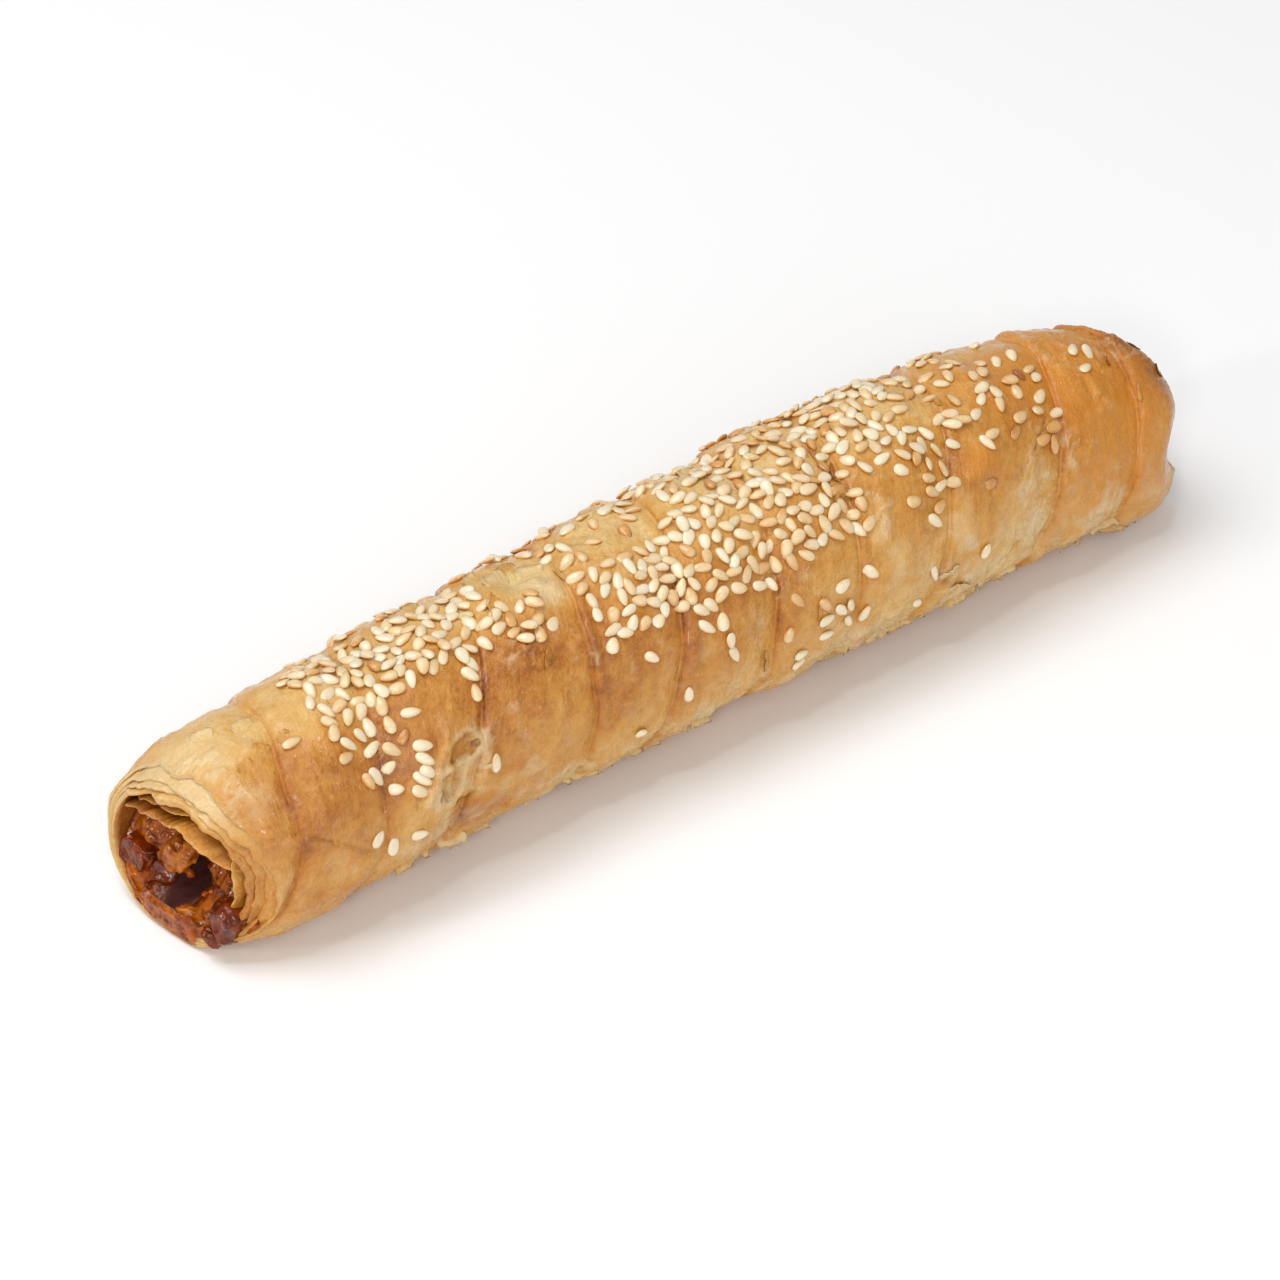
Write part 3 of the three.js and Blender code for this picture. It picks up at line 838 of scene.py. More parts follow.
    def tones(self, along: Array, angle: Array) -> dict[str, Array]:
        """Gives how the pastry has baked.

        Args:
            along: millimetres from the near end.
            angle: degrees round the roll.

        Returns:
            Browning, stain and painted shade of folds, seams, holes and blisters, paleness of bare layers,
            sauce and glaze, each about 0 to 1.
        """
        along, angle = np.broadcast_arrays(along, angle)
        number, share, past = self.strip(along, angle)
        baking = self.baking
        brown = np.interp(wrap(angle), *zip(*self.baked))
        brown = brown + sum(form.share(along, angle) for form in [*self.browned, *self.panels])
        brown = brown + baking.cloud_brown * baking.cloud.over(self.slow, along, angle)
        brown = brown + baking.streak_brown * self.pleats(number, past, angle, 3)
        lap = baking.lap_brown * (1 - share) ** 3 + baking.lap_end_brown * share**3
        brown = brown + np.where(number > 0, lap, 0)
        brown = brown + baking.edge_brown * bump(self.to_edge(along, angle), baking.edge_half)
        # stain with painted shade along each turn's edge, broken in places
        whole = smoothstep(baking.seam_break.over(self.fine, along, angle), -0.5, 0.5)
        whole = baking.seam_whole + (1 - baking.seam_whole) * whole
        stain = np.take(self.seam_stain_and_shade, number) * bump(past - 0.1, baking.seam_half) * whole
        stain = stain * smoothstep(angle, *baking.seam_low)
        # stain and painted shade along the folds
        for crease in self.creases:
            stain = stain + crease.stain * bump(crease.offset(along, angle), crease.width)
        # painted shade inside the small holes
        for pit in self.pits:
            stain = stain - baking.pit_shade * pit.share(along, angle)
        pale = sum(form.share(along, angle) for form in [*self.pale, *self.bare_panels])
        fray = self.fray.over(self.fine, along, angle)
        for hollow in self.hollows:
            inside = hollow.inside(along, angle) + self.hollow_fray * fray
            # painted shade with stain just inside each blister's rim
            dark = bump(inside - 0.1, 0.28)
            stain = stain + baking.hollow_stain_and_shade * dark * smoothstep(fray, -0.5, 0.4)
            bare = bump(inside + 0.9, 0.7)
            pale = pale + baking.hollow_pale * bare * smoothstep(-fray, -0.6, 0.5)
            brown = brown + baking.hollow_brown * smoothstep(inside, 0, 0.5)
        mottled = baking.mottle_pale + baking.mottle_front_pale * smoothstep(angle, *baking.mottle_front)
        pale = pale + mottled * baking.mottle.over(self.fine, along, angle)
        pale = pale + baking.pucker_pale * self.puckers(along, angle)
        _, broken_edge, odd = self.flakes(along, angle)
        pale = pale + baking.flake_pale * odd
        brown = brown + baking.flake_brown * (0.5 - odd) * (odd > 0)
        stain = stain + baking.flake_stain * broken_edge
        glaze = sum(spot.share(along, angle) for spot in self.glazed)
        shown = self.shown(angle)
        sauce = np.zeros_like(brown)
        return {"brown": brown, "stain": stain * shown, "pale": pale * shown, "sauce": sauce, "glaze": glaze}


@dataclass(frozen=True)
class Grain:
    """A cloudy pattern of a finish: size of its spots, finer layers, their strength, and its swing."""

    size: float
    detail: float = 2.0
    roughness: float = 0.5
    swing: float = 1.0


class Value:
    """A number that changes over a surface: its socket, with the sums that can be done with it."""

    def __init__(self, graph: "Graph", socket: Socket) -> None:
        """Wraps a socket of a graph."""
        self.graph = graph
        self.socket = socket

    def _math(self, operation: str, first: Any, second: Any) -> "Value":
        """Adds a node that does one sum with two numbers or values."""
        node = self.graph.node("Math", {"operation": operation}, {0: first, 1: second})
        return Value(self.graph, node.outputs[0])

    def __add__(self, other: Any) -> "Value":
        """Adds."""
        return self._math("ADD", self, other)

    __radd__ = __add__

    def __sub__(self, other: Any) -> "Value":
        """Takes a number or value away."""
        return self._math("SUBTRACT", self, other)

    def __rsub__(self, other: Any) -> "Value":
        """Is taken away from a number."""
        return self._math("SUBTRACT", other, self)

    def __mul__(self, other: Any) -> "Value":
        """Multiplies."""
        return self._math("MULTIPLY", self, other)

    __rmul__ = __mul__

    def between(self, low: float, high: float, first: float = 0.0, last: float = 1.0) -> "Value":
        """Stretches a range of the value smoothly over another range.

        Args:
            low: value that becomes first.
            high: value that becomes last.
            first: start of the new range.
            last: end of the new range.

        Returns:
            The stretched value, kept within the new range.
        """
        settings = {"interpolation_type": "SMOOTHSTEP"}
        inputs = {"Value": self, "From Min": low, "From Max": high, "To Min": first, "To Max": last}
        return Value(self.graph, self.graph.node("MapRange", settings, inputs).outputs[0])


class Graph:
    """The shader nodes of one finish."""

    def __init__(self, name: str) -> None:
        """Starts an empty material.

        Args:
            name: the material's name.
        """
        self.material = bpy.data.materials.new(name)
        self.material.use_nodes = True
        self.tree = self.material.node_tree
        self.tree.nodes.clear()

    def node(self, kind: str, settings: dict[str, Any], inputs: dict[str | int, Any]) -> Node:
        """Adds a node.

        Args:
            kind: the node's type, without its prefix.
            settings: properties to set first; "stops" holds a ramp's positions and colours.
            inputs: values or links of sockets, by name or number.

        Returns:
            The node.
        """
        node = self.tree.nodes.new("ShaderNode" + kind)
        for key, value in settings.items():
            if key != "stops":
                setattr(node, key, value)
                continue
            elements = node.color_ramp.elements
            while len(elements) < len(value):
                elements.new(1.0)
            for element, (position, colour) in zip(elements, value):
                element.position = position
                element.color = colour
        for key, value in inputs.items():
            source = value.socket if isinstance(value, Value) else value
            if isinstance(source, Socket):
                self.tree.links.new(source, node.inputs[key])
            else:
                node.inputs[key].default_value = source
        return node

    def painted(self, name: str) -> Value:
        """Reads a value painted on the mesh."""
        return Value(self, self.node("Attribute", {"attribute_name": name}, {}).outputs["Fac"])

    def grain(self, size: float, detail: float = 2.0, roughness: float = 0.5) -> Value:
        """Gives a cloudy pattern.

        Args:
            size: size of its spots in millimetres.
            detail: number of finer layers.
            roughness: strength of the finer layers.

        Returns:
            A value of about 0.25 to 0.75.
        """
        place = self.node("TexCoord", {}, {}).outputs["Object"]
        inputs = {"Vector": place, "Scale": 1 / (size * MM), "Detail": detail, "Roughness": roughness}
        return Value(self, self.node("TexNoise", {}, inputs).outputs[0])

    def mottle(self, grain: Grain) -> Value:
        """Gives a cloudy pattern that swings about zero."""
        return (self.grain(grain.size, grain.detail, grain.roughness) - 0.5) * grain.swing

    def dots(self, size: float, within: Range, patch: float, patches: Range) -> Value:
        """Gives 1 on dots that come in patches: their sizes and the values they fade in over."""
        return self.grain(size).between(*within) * self.grain(patch).between(*patches)

    def folds(self, unrolled: Place, across: float, run: float) -> Value:
        """Gives a cloudy pattern drawn out round the roll, as folds of the dough are.

        Args:
            unrolled: millimetres that the bake's square stands for along and round the roll.
            across: width of a fold in millimetres.
            run: length of a fold in millimetres.

        Returns:
            A value of about 0.25 to 0.75.
        """
        place = self.node("UVMap", {"uv_map": BAKE_MAP}, {}).outputs[0]
        scale = (unrolled[0] / across, unrolled[1] / run, 0.0)
        drawn = self.node("VectorMath", {"operation": "MULTIPLY"}, {0: place, 1: scale}).outputs[0]
        inputs = {"Vector": drawn, "Scale": 1.0, "Detail": 3.0, "Roughness": 0.55}
        return Value(self, self.node("TexNoise", {}, inputs).outputs[0])

    def ramp(self, value: Value, stops: tuple[tuple[float, Colour], ...]) -> Socket:
        """Turns a value into a colour, by positions and their colours."""
        return self.node("ValToRGB", {"stops": stops}, {"Fac": value}).outputs[0]

    def blend(self, first: Any, second: Any, factor: Any) -> Socket:
        """Blends two colours; the factor is the share of the second."""
        settings = {"data_type": "RGBA", "blend_type": "MIX", "clamp_factor": True}
        return self.node("Mix", settings, {0: factor, 6: first, 7: second}).outputs[2]

    def raised(self, height: Value, depth: float, strength: float = 1.0) -> Socket:
        """Turns a height of 0 to 1 into a shading normal; 1 stands for so many millimetres."""
        inputs = {"Height": height, "Distance": depth * MM, "Strength": strength}
        return self.node("Bump", {}, inputs).outputs[0]

    def finish(self, inputs: dict[str, Any]) -> Material:
        """Adds the shader and the output.

        Args:
            inputs: values or links of the shader's sockets.

        Returns:
            The material.
        """
        shader = self.node("BsdfPrincipled", {"subsurface_method": "RANDOM_WALK"}, inputs)
        self.node("OutputMaterial", {}, {"Surface": shader.outputs[0]})
        return self.material


@dataclass(frozen=True)
class PastryFinish:
    """Baked dough: cream where it is pale, golden to brown where the oven has caught it, oily in places."""

    name: str
    # millimetres that the bake's square stands for along and round the roll, if the piece is unrolled on it
    unrolled: Place | None = None
    stops: tuple[tuple[float, Colour], ...] = (
        (0.0, srgb(226, 197, 142)),
        (0.2, srgb(221, 179, 108)),
        (0.4, srgb(212, 157, 77)),
        (0.58, srgb(201, 138, 56)),
        (0.78, srgb(180, 110, 35)),
        (1.0, srgb(128, 64, 16)),
    )
    # colour of stains, and of painted shade in seams, creases, holes, blister rims, rim gaps and the deep
    # part of the loose sheets
    stain: Colour = srgb(142, 86, 24)
    bare: Colour = srgb(221, 194, 148)
    speck: Colour = srgb(150, 86, 34)
    sauce: Colour = srgb(150, 74, 20)
    glaze: Colour = srgb(213, 137, 43)

    brownings: tuple[Grain, Grain] = (Grain(3.4, 5, 0.7, 0.5), Grain(0.7, 4, 0.65, 0.32))
    barings: tuple[Grain, Grain] = (Grain(1.5, 5, 0.7, 0.5), Grain(4.5, 4, 0.65, 0.35))
    glazing: Grain = Grain(4.0, 3, 0.6, 0.5)
    saucing: Grain = Grain(1.6, 3, 0.6, 0.5)
    staining: Grain = Grain(0.9, 3, 0.6)
    oiling: Grain = Grain(5.0, 4, 0.65)
    roughening: Grain = Grain(0.6, swing=0.16)
    crusts: tuple[Grain, Grain] = (Grain(1.0, 5, 0.62, 0.6), Grain(0.28, 3, 0.6, 0.25))
    # folds of the crust: their width and length in millimetres, and how far they swing
    fold_relief: Triple = (0.9, 4.5, 0.6)
    fold_brown: Triple = (1.8, 7.0, 0.14)

    def folds(self, graph: Graph, across: float, run: float, swing: float) -> Value | float:
        """Gives the folds of the crust, where the piece is unrolled."""
        return (graph.folds(self.unrolled, across, run) - 0.5) * swing if self.unrolled else 0.0

    def colour(self, graph: Graph) -> Socket:
        """Lays glaze, bare layers, flecks with painted glints, specks, stains with painted shade and sauce
        over the browning.

        Args:
            graph: the finish's nodes.

        Returns:
            The colour's socket.
        """
        brown = graph.painted("brown") + graph.mottle(self.brownings[0]) + graph.mottle(self.brownings[1])
        colour = graph.ramp(brown + self.folds(graph, *self.fold_brown), self.stops)
        glaze = graph.painted("glaze") + graph.mottle(self.glazing) - 0.08
        colour = graph.blend(colour, self.glaze, glaze.between(0.0, 1.0) * 0.72)
        pale = graph.painted("pale") + graph.mottle(self.barings[0]) + graph.mottle(self.barings[1])
        colour = graph.blend(colour, self.bare, pale.between(0.05, 0.8) * 0.75)
        # pale flecks, partly flour and partly painted glints
        flecks_and_glints = graph.dots(0.55, (0.66, 0.74), 6.0, (0.46, 0.6))
        colour = graph.blend(colour, self.bare, flecks_and_glints * 0.6)
        specks = graph.dots(0.7, (0.66, 0.76), 5.0, (0.45, 0.62))
        colour = graph.blend(colour, self.speck, specks * 0.5)
        # stains and painted shade, read from the mesh
        stain = graph.painted("stain") * (graph.mottle(self.staining) + 0.5).between(0.25, 0.6, 0.45, 1.0)
        colour = graph.blend(colour, self.stain, stain.between(0.05, 1.0) * 0.9)
        sauce = graph.painted("sauce") + graph.mottle(self.saucing) - 0.1
        return graph.blend(colour, self.sauce, sauce.between(0.1, 0.8) * 0.9)

    def make(self) -> Material:
        """Builds the material.

        Returns:
            The material.
        """
        graph = Graph(self.name)
        relief = graph.mottle(self.crusts[0]) + graph.mottle(self.crusts[1])
        relief = relief + self.folds(graph, *self.fold_relief)
        oily = graph.mottle(self.oiling) + 0.5
        return graph.finish(
            {
                "Base Color": self.colour(graph),
                "Roughness": oily.between(0.36, 0.62, 0.42, 0.13) + graph.mottle(self.roughening),
                "Normal": graph.raised(relief, 0.55, 0.8),
                "Coat Weight": oily.between(0.42, 0.62, 0.0, 0.4),
                "Coat Roughness": 0.12,
                "Specular IOR Level": 0.45,
                "Subsurface Weight": 0.12,
                "Subsurface Radius": (0.9, 0.55, 0.28),
                "Subsurface Scale": 0.0009,
            }
        )


@dataclass(frozen=True)
class SeedFinish:
    """Hulled sesame: ivory, golden where it is toasted; its rims and underside are browner, partly with
    painted shade.
    """

    name: str = "sesame"
    stops: tuple[tuple[float, Colour], ...] = (
        (0.0, srgb(238, 222, 192)),
        (0.25, srgb(229, 199, 150)),
        (0.55, srgb(214, 158, 88)),
        (1.0, srgb(164, 96, 36)),
    )
    toasting: Grain = Grain(0.8, 3, 0.6, 0.3)

    def make(self) -> Material:
        """Builds the material.

        Returns:
            The material.
        """
        graph = Graph(self.name)
        toast = graph.painted("toast") + graph.mottle(self.toasting)
        relief = graph.grain(0.35, 3, 0.6)
        return graph.finish(
            {
                "Base Color": graph.ramp(toast, self.stops),
                "Roughness": graph.grain(0.6).between(0.3, 0.7, 0.16, 0.28),
                "Normal": graph.raised(relief, 0.06, 0.5),
                "Coat Weight": graph.grain(1.6).between(0.35, 0.6, 0.2, 0.8),
                "Coat Roughness": 0.1,
                "Specular IOR Level": 0.4,
                "Subsurface Weight": 0.4,
                "Subsurface Radius": (0.9, 0.6, 0.35),
                "Subsurface Scale": 0.0008,
            }
        )


@dataclass(frozen=True)
class FillingFinish:
    """Something moist in the filling: two tones of it, the sauce on it, its painted shade and how wet it
    shines.
    """

    name: str
    deep: Colour
    light: Colour
    sauce: Colour
    grain: float = 2.2
    sauced: float = 0.5
    # colour of the painted shade in the near face's pocket and top
    shade: Colour = srgb(58, 10, 0)
    roughness: float = 0.07
    subsurface: float = 0.12

    def make(self) -> Material:
        """Builds the material.

        Returns:
            The material.
        """
        graph = Graph(self.name)
        mottle = graph.grain(self.grain, 4, 0.6).between(0.32, 0.68)
        colour = graph.blend(self.deep, self.light, mottle)
        colour = graph.blend(colour, self.sauce, graph.grain(3.4, 3, 0.6).between(0.4, 0.62) * self.sauced)
        # painted shade, read from the mesh, darkens the colour and roughens the shine
        dark = graph.painted("dark").between(0.1, 0.75)
        colour = graph.blend(colour, self.shade, dark)
        relief = graph.grain(1.5, 1, 0.4) + graph.grain(0.6, 2, 0.5) * 0.15
        rough = graph.grain(1.4).between(0.3, 0.7, self.roughness, self.roughness + 0.08)
        return graph.finish(
            {
                "Base Color": colour,
                "Roughness": rough + dark.between(0.6, 1.0) * 0.7,
                "Normal": graph.raised(relief, 0.6, 0.9),
                "Specular IOR Level": 0.38,
                "Subsurface Weight": self.subsurface,
                "Subsurface Radius": (0.9, 0.3, 0.1),
                "Subsurface Scale": 0.001,
            }
        )


@dataclass
class Sheet:
    """Points in rows and columns that make a sheet of quads, with the values painted on them."""

    points: Array
    tones: dict[str, Array]
    round_columns: bool = False
    pointed: bool = False
    tile: Tile = (0.0, 0.0, 1.0, 1.0)


class Piece:
    """Gathers sheets of quads into one named mesh."""

    def __init__(self, name: str) -> None:
        """Starts an empty piece.

        Args:
            name: the piece's name.
        """
        self.name = name
        self.corners: list[Array] = []
        self.faces: list[list[int]] = []
        self.laid: list[Array] = []
        self.tones: dict[str, list[Array]] = {}
        self.count = 0

    def add(self, sheet: Sheet) -> None:
        """Adds a sheet; the first and last rows of a pointed sheet are drawn to a point each.

        Args:
            sheet: the sheet.
        """
        rows, columns = sheet.points.shape[:2]
        number = np.arange(rows * columns).reshape(rows, columns)
        points = sheet.points.reshape(-1, 3)
        row_steps = rows - 1
        column_steps = columns if sheet.round_columns else columns - 1
        r, c = np.meshgrid(np.arange(row_steps), np.arange(column_steps), indexing="ij")
        ring = [(r, c), (r, c + 1), (r + 1, c + 1), (r + 1, c)]
        quads = np.stack([number[i, j % columns] for i, j in ring], -1).reshape(-1, 4)
        left, low, right, high = sheet.tile
        laid = [
            np.stack([left + (right - left) * i / row_steps, low + (high - low) * j / column_steps], -1)
            for i, j in ring
        ]
        self.faces += (quads + self.count).tolist()
        self.laid.append(np.stack(laid, 2).reshape(-1, 2))
        if sheet.pointed:
            self._cap(number[0][::-1], sheet, 0)
            self._cap(number[-1], sheet, 1)
        for name, values in sheet.tones.items():
            painted = np.broadcast_to(values, (rows, columns)).ravel()
            self.tones.setdefault(name, []).append(painted)
        self.corners.append(points)
        self.count += len(points)

    def _cap(self, row: Array, sheet: Sheet, end: int) -> None:
        """Closes an end of a pointed sheet with one face.

        Args:
            row: numbers of the points round the end.
            sheet: the sheet.
            end: 0 for its first row and 1 for its last.
        """
        left, low, right, high = sheet.tile
        self.faces.append((row + self.count).tolist())
        across = left + (right - left) * end
        up = low + (high - low) * np.linspace(0, 1, len(row))
        self.laid.append(np.stack([np.full(len(row), across), up], -1))

    def make(
        self, material: Material, slot: str, stands_for: str | None = None
    ) -> Object:
        """Makes the mesh, dresses it and hangs it on the roll.

        Args:
            material: its finish.
            slot: not used.
            stands_for: the solid that it replaces, if any.

        Returns:
            The object.
        """
        mesh = bpy.data.meshes.new(self.name)
        mesh.from_pydata((np.concatenate(self.corners) * MM).tolist(), [], self.faces)
        mesh.polygons.foreach_set("use_smooth", np.ones(len(mesh.polygons), dtype=bool))
        layer = mesh.uv_layers.new(name=BAKE_MAP)
        layer.data.foreach_set("uv", np.concatenate(self.laid).astype(np.float32).ravel())
        for name, values in self.tones.items():
            painted = mesh.attributes.new(name, "FLOAT", "POINT")
            painted.data.foreach_set("value", np.concatenate(values).astype(np.float32))
        mesh.materials.append(material)
        made = bpy.data.objects.new(self.name, mesh)
        bpy.context.scene.collection.objects.link(made)
        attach(made, ROOT)
        if stands_for:
            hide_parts(stands_for)
        LOG.info("%s: %d faces", self.name, len(mesh.polygons))
        return made


@dataclass
class Pastry:
    """The wound pastry: its outside, the grooved rims of its ends, and its bore."""

    surface: Surface
    ring_step: float = 0.66
    # distances of the rings close beside a turn's edge
    ring_close: tuple[float, ...] = (0.12, 0.28, 0.5)
    # first and last angle of each range of columns, and how many it has
    ranges: tuple[tuple[float, float, int], ...] = ((-56, 116, 140), (116, 236, 66), (236, 304, 30))
    bore_rings: int = 22
    bore_inset: float = 1.2
    outside_tile: Tile = (0.01, 0.01, 0.89, 0.99)
    inside_tile: Tile = (0.9, 0.01, 0.99, 0.99)
    # shares of the wall where one layer of a rim ends and the next begins
    rim_bounds: tuple[float, ...] = (0.0, 0.2, 0.46, 0.64, 1.0)
    # shares of a layer at which a rim has rings, in the outermost layer and in the others
    outer_shares: tuple[float, ...] = (0.3, 0.6, 0.85, 1.0)
    layer_shares: tuple[float, ...] = (0.0, 0.15, 0.5, 0.85, 1.0)
    rim_wander: float = 0.13
    rim_stand: float = 1.3
    rim_lead: float = 2.0
    rim_torn: float = 1.3
    rim_round: float = 0.35
    rim_round_least: float = 0.3
    far_parted: float = 0.8
    # gaps between the layers: depth, and half width closed and open as shares of the wall
    rim_gap: float = 3.4
    gap_closed: float = 0.015
    gap_open: float = 0.06
    bore_tones: tuple[tuple[str, float], ...] = (
        ("brown", 0.62), ("stain", 0.0), ("pale", 0.0), ("sauce", 0.75), ("glaze", 0.0)
    )
    # places of the seeds, whose oil and painted contact shade brown the pastry round them
    beds: Array = field(default_factory=lambda: np.empty((0, 2)))
    bed_size: float = 1.7
    bed_oil_and_shade: float = 0.07
    noise: Noise = field(default_factory=lambda: Noise(23))

    def angles(self) -> Array:
        """Gives the angles of the columns: close together on the front, wider apart on the underside."""
        return np.concatenate([np.linspace(*columns, endpoint=False) for columns in self.ranges])

    def unrolled(self) -> Place:
        """Gives how many millimetres the bake's square stands for along and round the outside."""
        left, low, right, high = self.outside_tile
        return self.surface.roll.length / (right - left), 360 * DEGREE / (high - low)

    def rings(self, angle: Array) -> Array:
        """Lays the rings of the outside along the turns, closer together at their edges.

        Args:
            angle: degrees of the columns.

        Returns:
            Distances from the near end, a row for each ring.
        """
        rows = self.surface.edges(angle)
        rows[0] = self.torn(angle)
        close = self.ring_close
        made = [rows[0]]
        for start, end in zip(rows, rows[1:]):
            width = float(np.mean(end - start))
            steps = max(3, round((width - 2 * close[-1]) / self.ring_step))
            made += [start + offset for offset in close]
            first, last = start + close[-1], end - close[-1]
            made += [first + (last - first) * step / steps for step in range(1, steps)]
            made += [end - offset for offset in close[::-1]]
        made.append(rows[-1])
        return np.stack(made)

    def wall_point(self, end: End, share: Array, depth: Array, angle: Array) -> Array:
        """Gives points within the wall at an end.

        Args:
            end: which end.
            share: share of the wall's thickness, from the outside in.
            depth: millimetres into the end, negative beyond it.
            angle: degrees round the roll.

        Returns:
            Points in millimetres.
        """
        share, depth, angle = np.broadcast_arrays(share, depth, angle)
        inside = np.maximum(depth, 0)
        along = inside if end is End.NEAR else self.surface.roll.length - inside
        outer = self.surface.at(along, angle)
        inner = self.surface.roll.bore(along, angle, 0.0)
        points = outer + (inner - outer) * share[..., None]
        points[..., 0] += end.value * np.minimum(depth, 0)
        return points

    def torn(self, angle: Array) -> Array:
        """Gives how far the outermost layer has torn back from the near end.

        Args:
            angle: degrees round the roll.

        Returns:
            Millimetres from the end.
        """
        ring = around(angle, RADIUS / 2.4)
        uneven = self.noise.layered(*ring, np.full_like(ring[0], 91.0), octaves=4)
        return near_open(angle) * np.maximum(0, self.rim_torn * (1 + 0.9 * uneven))

    def rim(self, end: End, angle: Array) -> Sheet:
        """Makes a rim: layers of dough side by side, with gaps that open and close between them, and painted
        shade down the gaps.

        Args:
            end: which end.
            angle: degrees of the columns.

        Returns:
            Rings from the outside in, with their tones.
        """
        near = end is End.NEAR
        parted = near_open(angle) if near else np.full_like(angle, self.far_parted)
        closed = np.zeros_like(angle)
        ring = around(angle, RADIUS / 2.0)
        layers = len(self.rim_bounds) - 1
        first = 50.0 * end.value
        levels = [np.full_like(angle, first + 4.3 * number) for number in range(layers + 1)]
        inner = slice(1, layers)
        bounds = np.array(self.rim_bounds)[:, None] + closed
        wander = np.stack([self.noise.layered(*ring, level) for level in levels[inner]])
        bounds[inner] += parted * self.rim_wander * wander
        torn = self.torn(angle) if near else closed
        stands = [torn]
        for number in range(1, layers):
            share = number / (layers - 1)
            uneven = self.noise.layered(*ring, levels[number] + 20.0, octaves=4)
            lead = near * self.rim_lead * share
            stands.append(torn * (1 - share) ** 2 + parted * (self.rim_stand * uneven - lead))
        ring = [1.3 * axis for axis in ring]
        opens = [self.noise.at(*ring, level + 40.0) for level in levels]
        opens = [parted * smoothstep(opening, -0.15, 0.5) for opening in opens]
        opens[0] = opens[-1] = closed
        rows = []
        gap_shade = []
        for number in range(layers):
            low = bounds[number] + self.gap_closed + self.gap_open * opens[number]
            high = bounds[number + 1] - self.gap_closed - self.gap_open * opens[number + 1]
            loose = np.maximum(opens[number], opens[number + 1])
            loose = self.rim_round_least + (1 - self.rim_round_least) * loose
            for share in self.layer_shares if number else self.outer_shares:
                bend = abs(2 * share - 1) if number else max(0.0, 2 * share - 1)
                depth = stands[number] + self.rim_round * loose * bend**3
                rows.append(self.wall_point(end, low + (high - low) * share, depth, angle))
                gap_shade.append(closed)
            if number + 1 < layers:
                deep = np.maximum(stands[number], stands[number + 1])
                deep = deep + self.rim_gap * opens[number + 1] + self.rim_round_least * self.rim_round
                foot = bounds[number + 1] + 0.01
                rows.append(self.wall_point(end, 0.6 * high + 0.4 * foot, deep, angle))
                rows.append(self.wall_point(end, foot, deep, angle))
                side = stands[number + 1] + 0.6 * (deep - stands[number + 1])
                rows.append(self.wall_point(end, foot + 0.005, side, angle))
                # painted shade down the gap to the next layer
                gap_shade += [0.06 * parted + 0.55 * opens[number + 1]] * 2
                gap_shade.append(0.2 * opens[number + 1])
        return Sheet(np.stack(rows), self.rim_tones(end, angle, np.stack(gap_shade)))

    def rim_tones(self, end: End, angle: Array, gap_shade: Array) -> dict[str, Array]:
        """Gives how a rim has baked, where the filling has stained it, and the painted shade down its gaps.

        Args:
            end: which end.
            angle: degrees of the columns.
            gap_shade: painted shade, growing with how far each place is down a gap, 0 to 1.

        Returns:
            Browning, stain with painted shade, paleness, sauce and glaze.
        """
        flat = np.zeros_like(gap_shade)
        inwards = np.linspace(0, 1, len(gap_shade))[:, None] + flat
        if end is End.FAR:
            burnt = bump(turn_between(66.0, angle), 40.0)
            return {
                "brown": 0.6 + 0.3 * burnt + flat,
                # stain here is painted shade down the gaps
                "stain": 0.6 * gap_shade,
                "pale": flat,
                "sauce": flat + 0.1,
                "glaze": flat + 0.5,
            }
        high = smoothstep(angle, 24, 80)
        pale = (0.05 + 0.55 * high) * near_open(angle)
        return {
            "brown": 0.54 - 0.4 * high + 0.16 * inwards,
            # stain here is painted shade down the gaps
            "stain": 0.8 * gap_shade,
            "pale": pale * (1 - inwards**3),
            "sauce": sauced_lip(angle) + 0.35 * inwards**4,
            "glaze": flat,
        }

    def seed_beds(self, along: Array, angle: Array) -> Array:
        """Gives how near places lie to a seed.

        Args:
            along: millimetres from the near end.
            angle: degrees of the columns.

        Returns:
            1 under a seed, falling to 0 beside it.
        """
        flat = np.stack(np.broadcast_arrays(along, wrap(angle) * DEGREE), -1).reshape(-1, 2)
        nearest = np.full(len(flat), np.inf)
        for bed in self.beds:
            gap = flat - bed * (1, DEGREE)
            nearest = np.minimum(nearest, gap[:, 0] ** 2 + gap[:, 1] ** 2)
        return bump(np.sqrt(nearest), self.bed_size).reshape(along.shape)

    def build(self, material: Material) -> Object:
        """Builds the pastry.

        Args:
            material: its finish.

        Returns:
            The object that stands for the solid.
        """
        angle = self.angles()
        roll = self.surface.roll
        along = self.rings(angle)
        outside = self.surface.at(along, angle)
        inset = self.bore_inset
        inner = np.linspace(roll.length - inset, inset, self.bore_rings)[:, None]
        bore = roll.bore(inner, angle[None], 0.0)
        tones = self.surface.tones(along, angle)
        # painted contact shade and oil browning round each seed
        tones["brown"] = tones["brown"] + self.bed_oil_and_shade * self.seed_beds(along, angle)
        far, near = self.rim(End.FAR, angle), self.rim(End.NEAR, angle)
        within = np.concatenate([outside[-1:], far.points, bore, near.points[::-1], outside[:1]])
        inner_tones = {}
        for name, soaked in self.bore_tones:
            tone = tones[name]
            walls = [far.tones[name], np.full(bore.shape[:2], soaked), near.tones[name][::-1]]
            inner_tones[name] = np.concatenate([tone[-1:], *walls, tone[:1]])
        piece = Piece("pastry_skin")
        piece.add(Sheet(outside, tones, round_columns=True, tile=self.outside_tile))
        piece.add(Sheet(within, inner_tones, round_columns=True, tile=self.inside_tile))
        return piece.make(material, "pastry", "pastry")


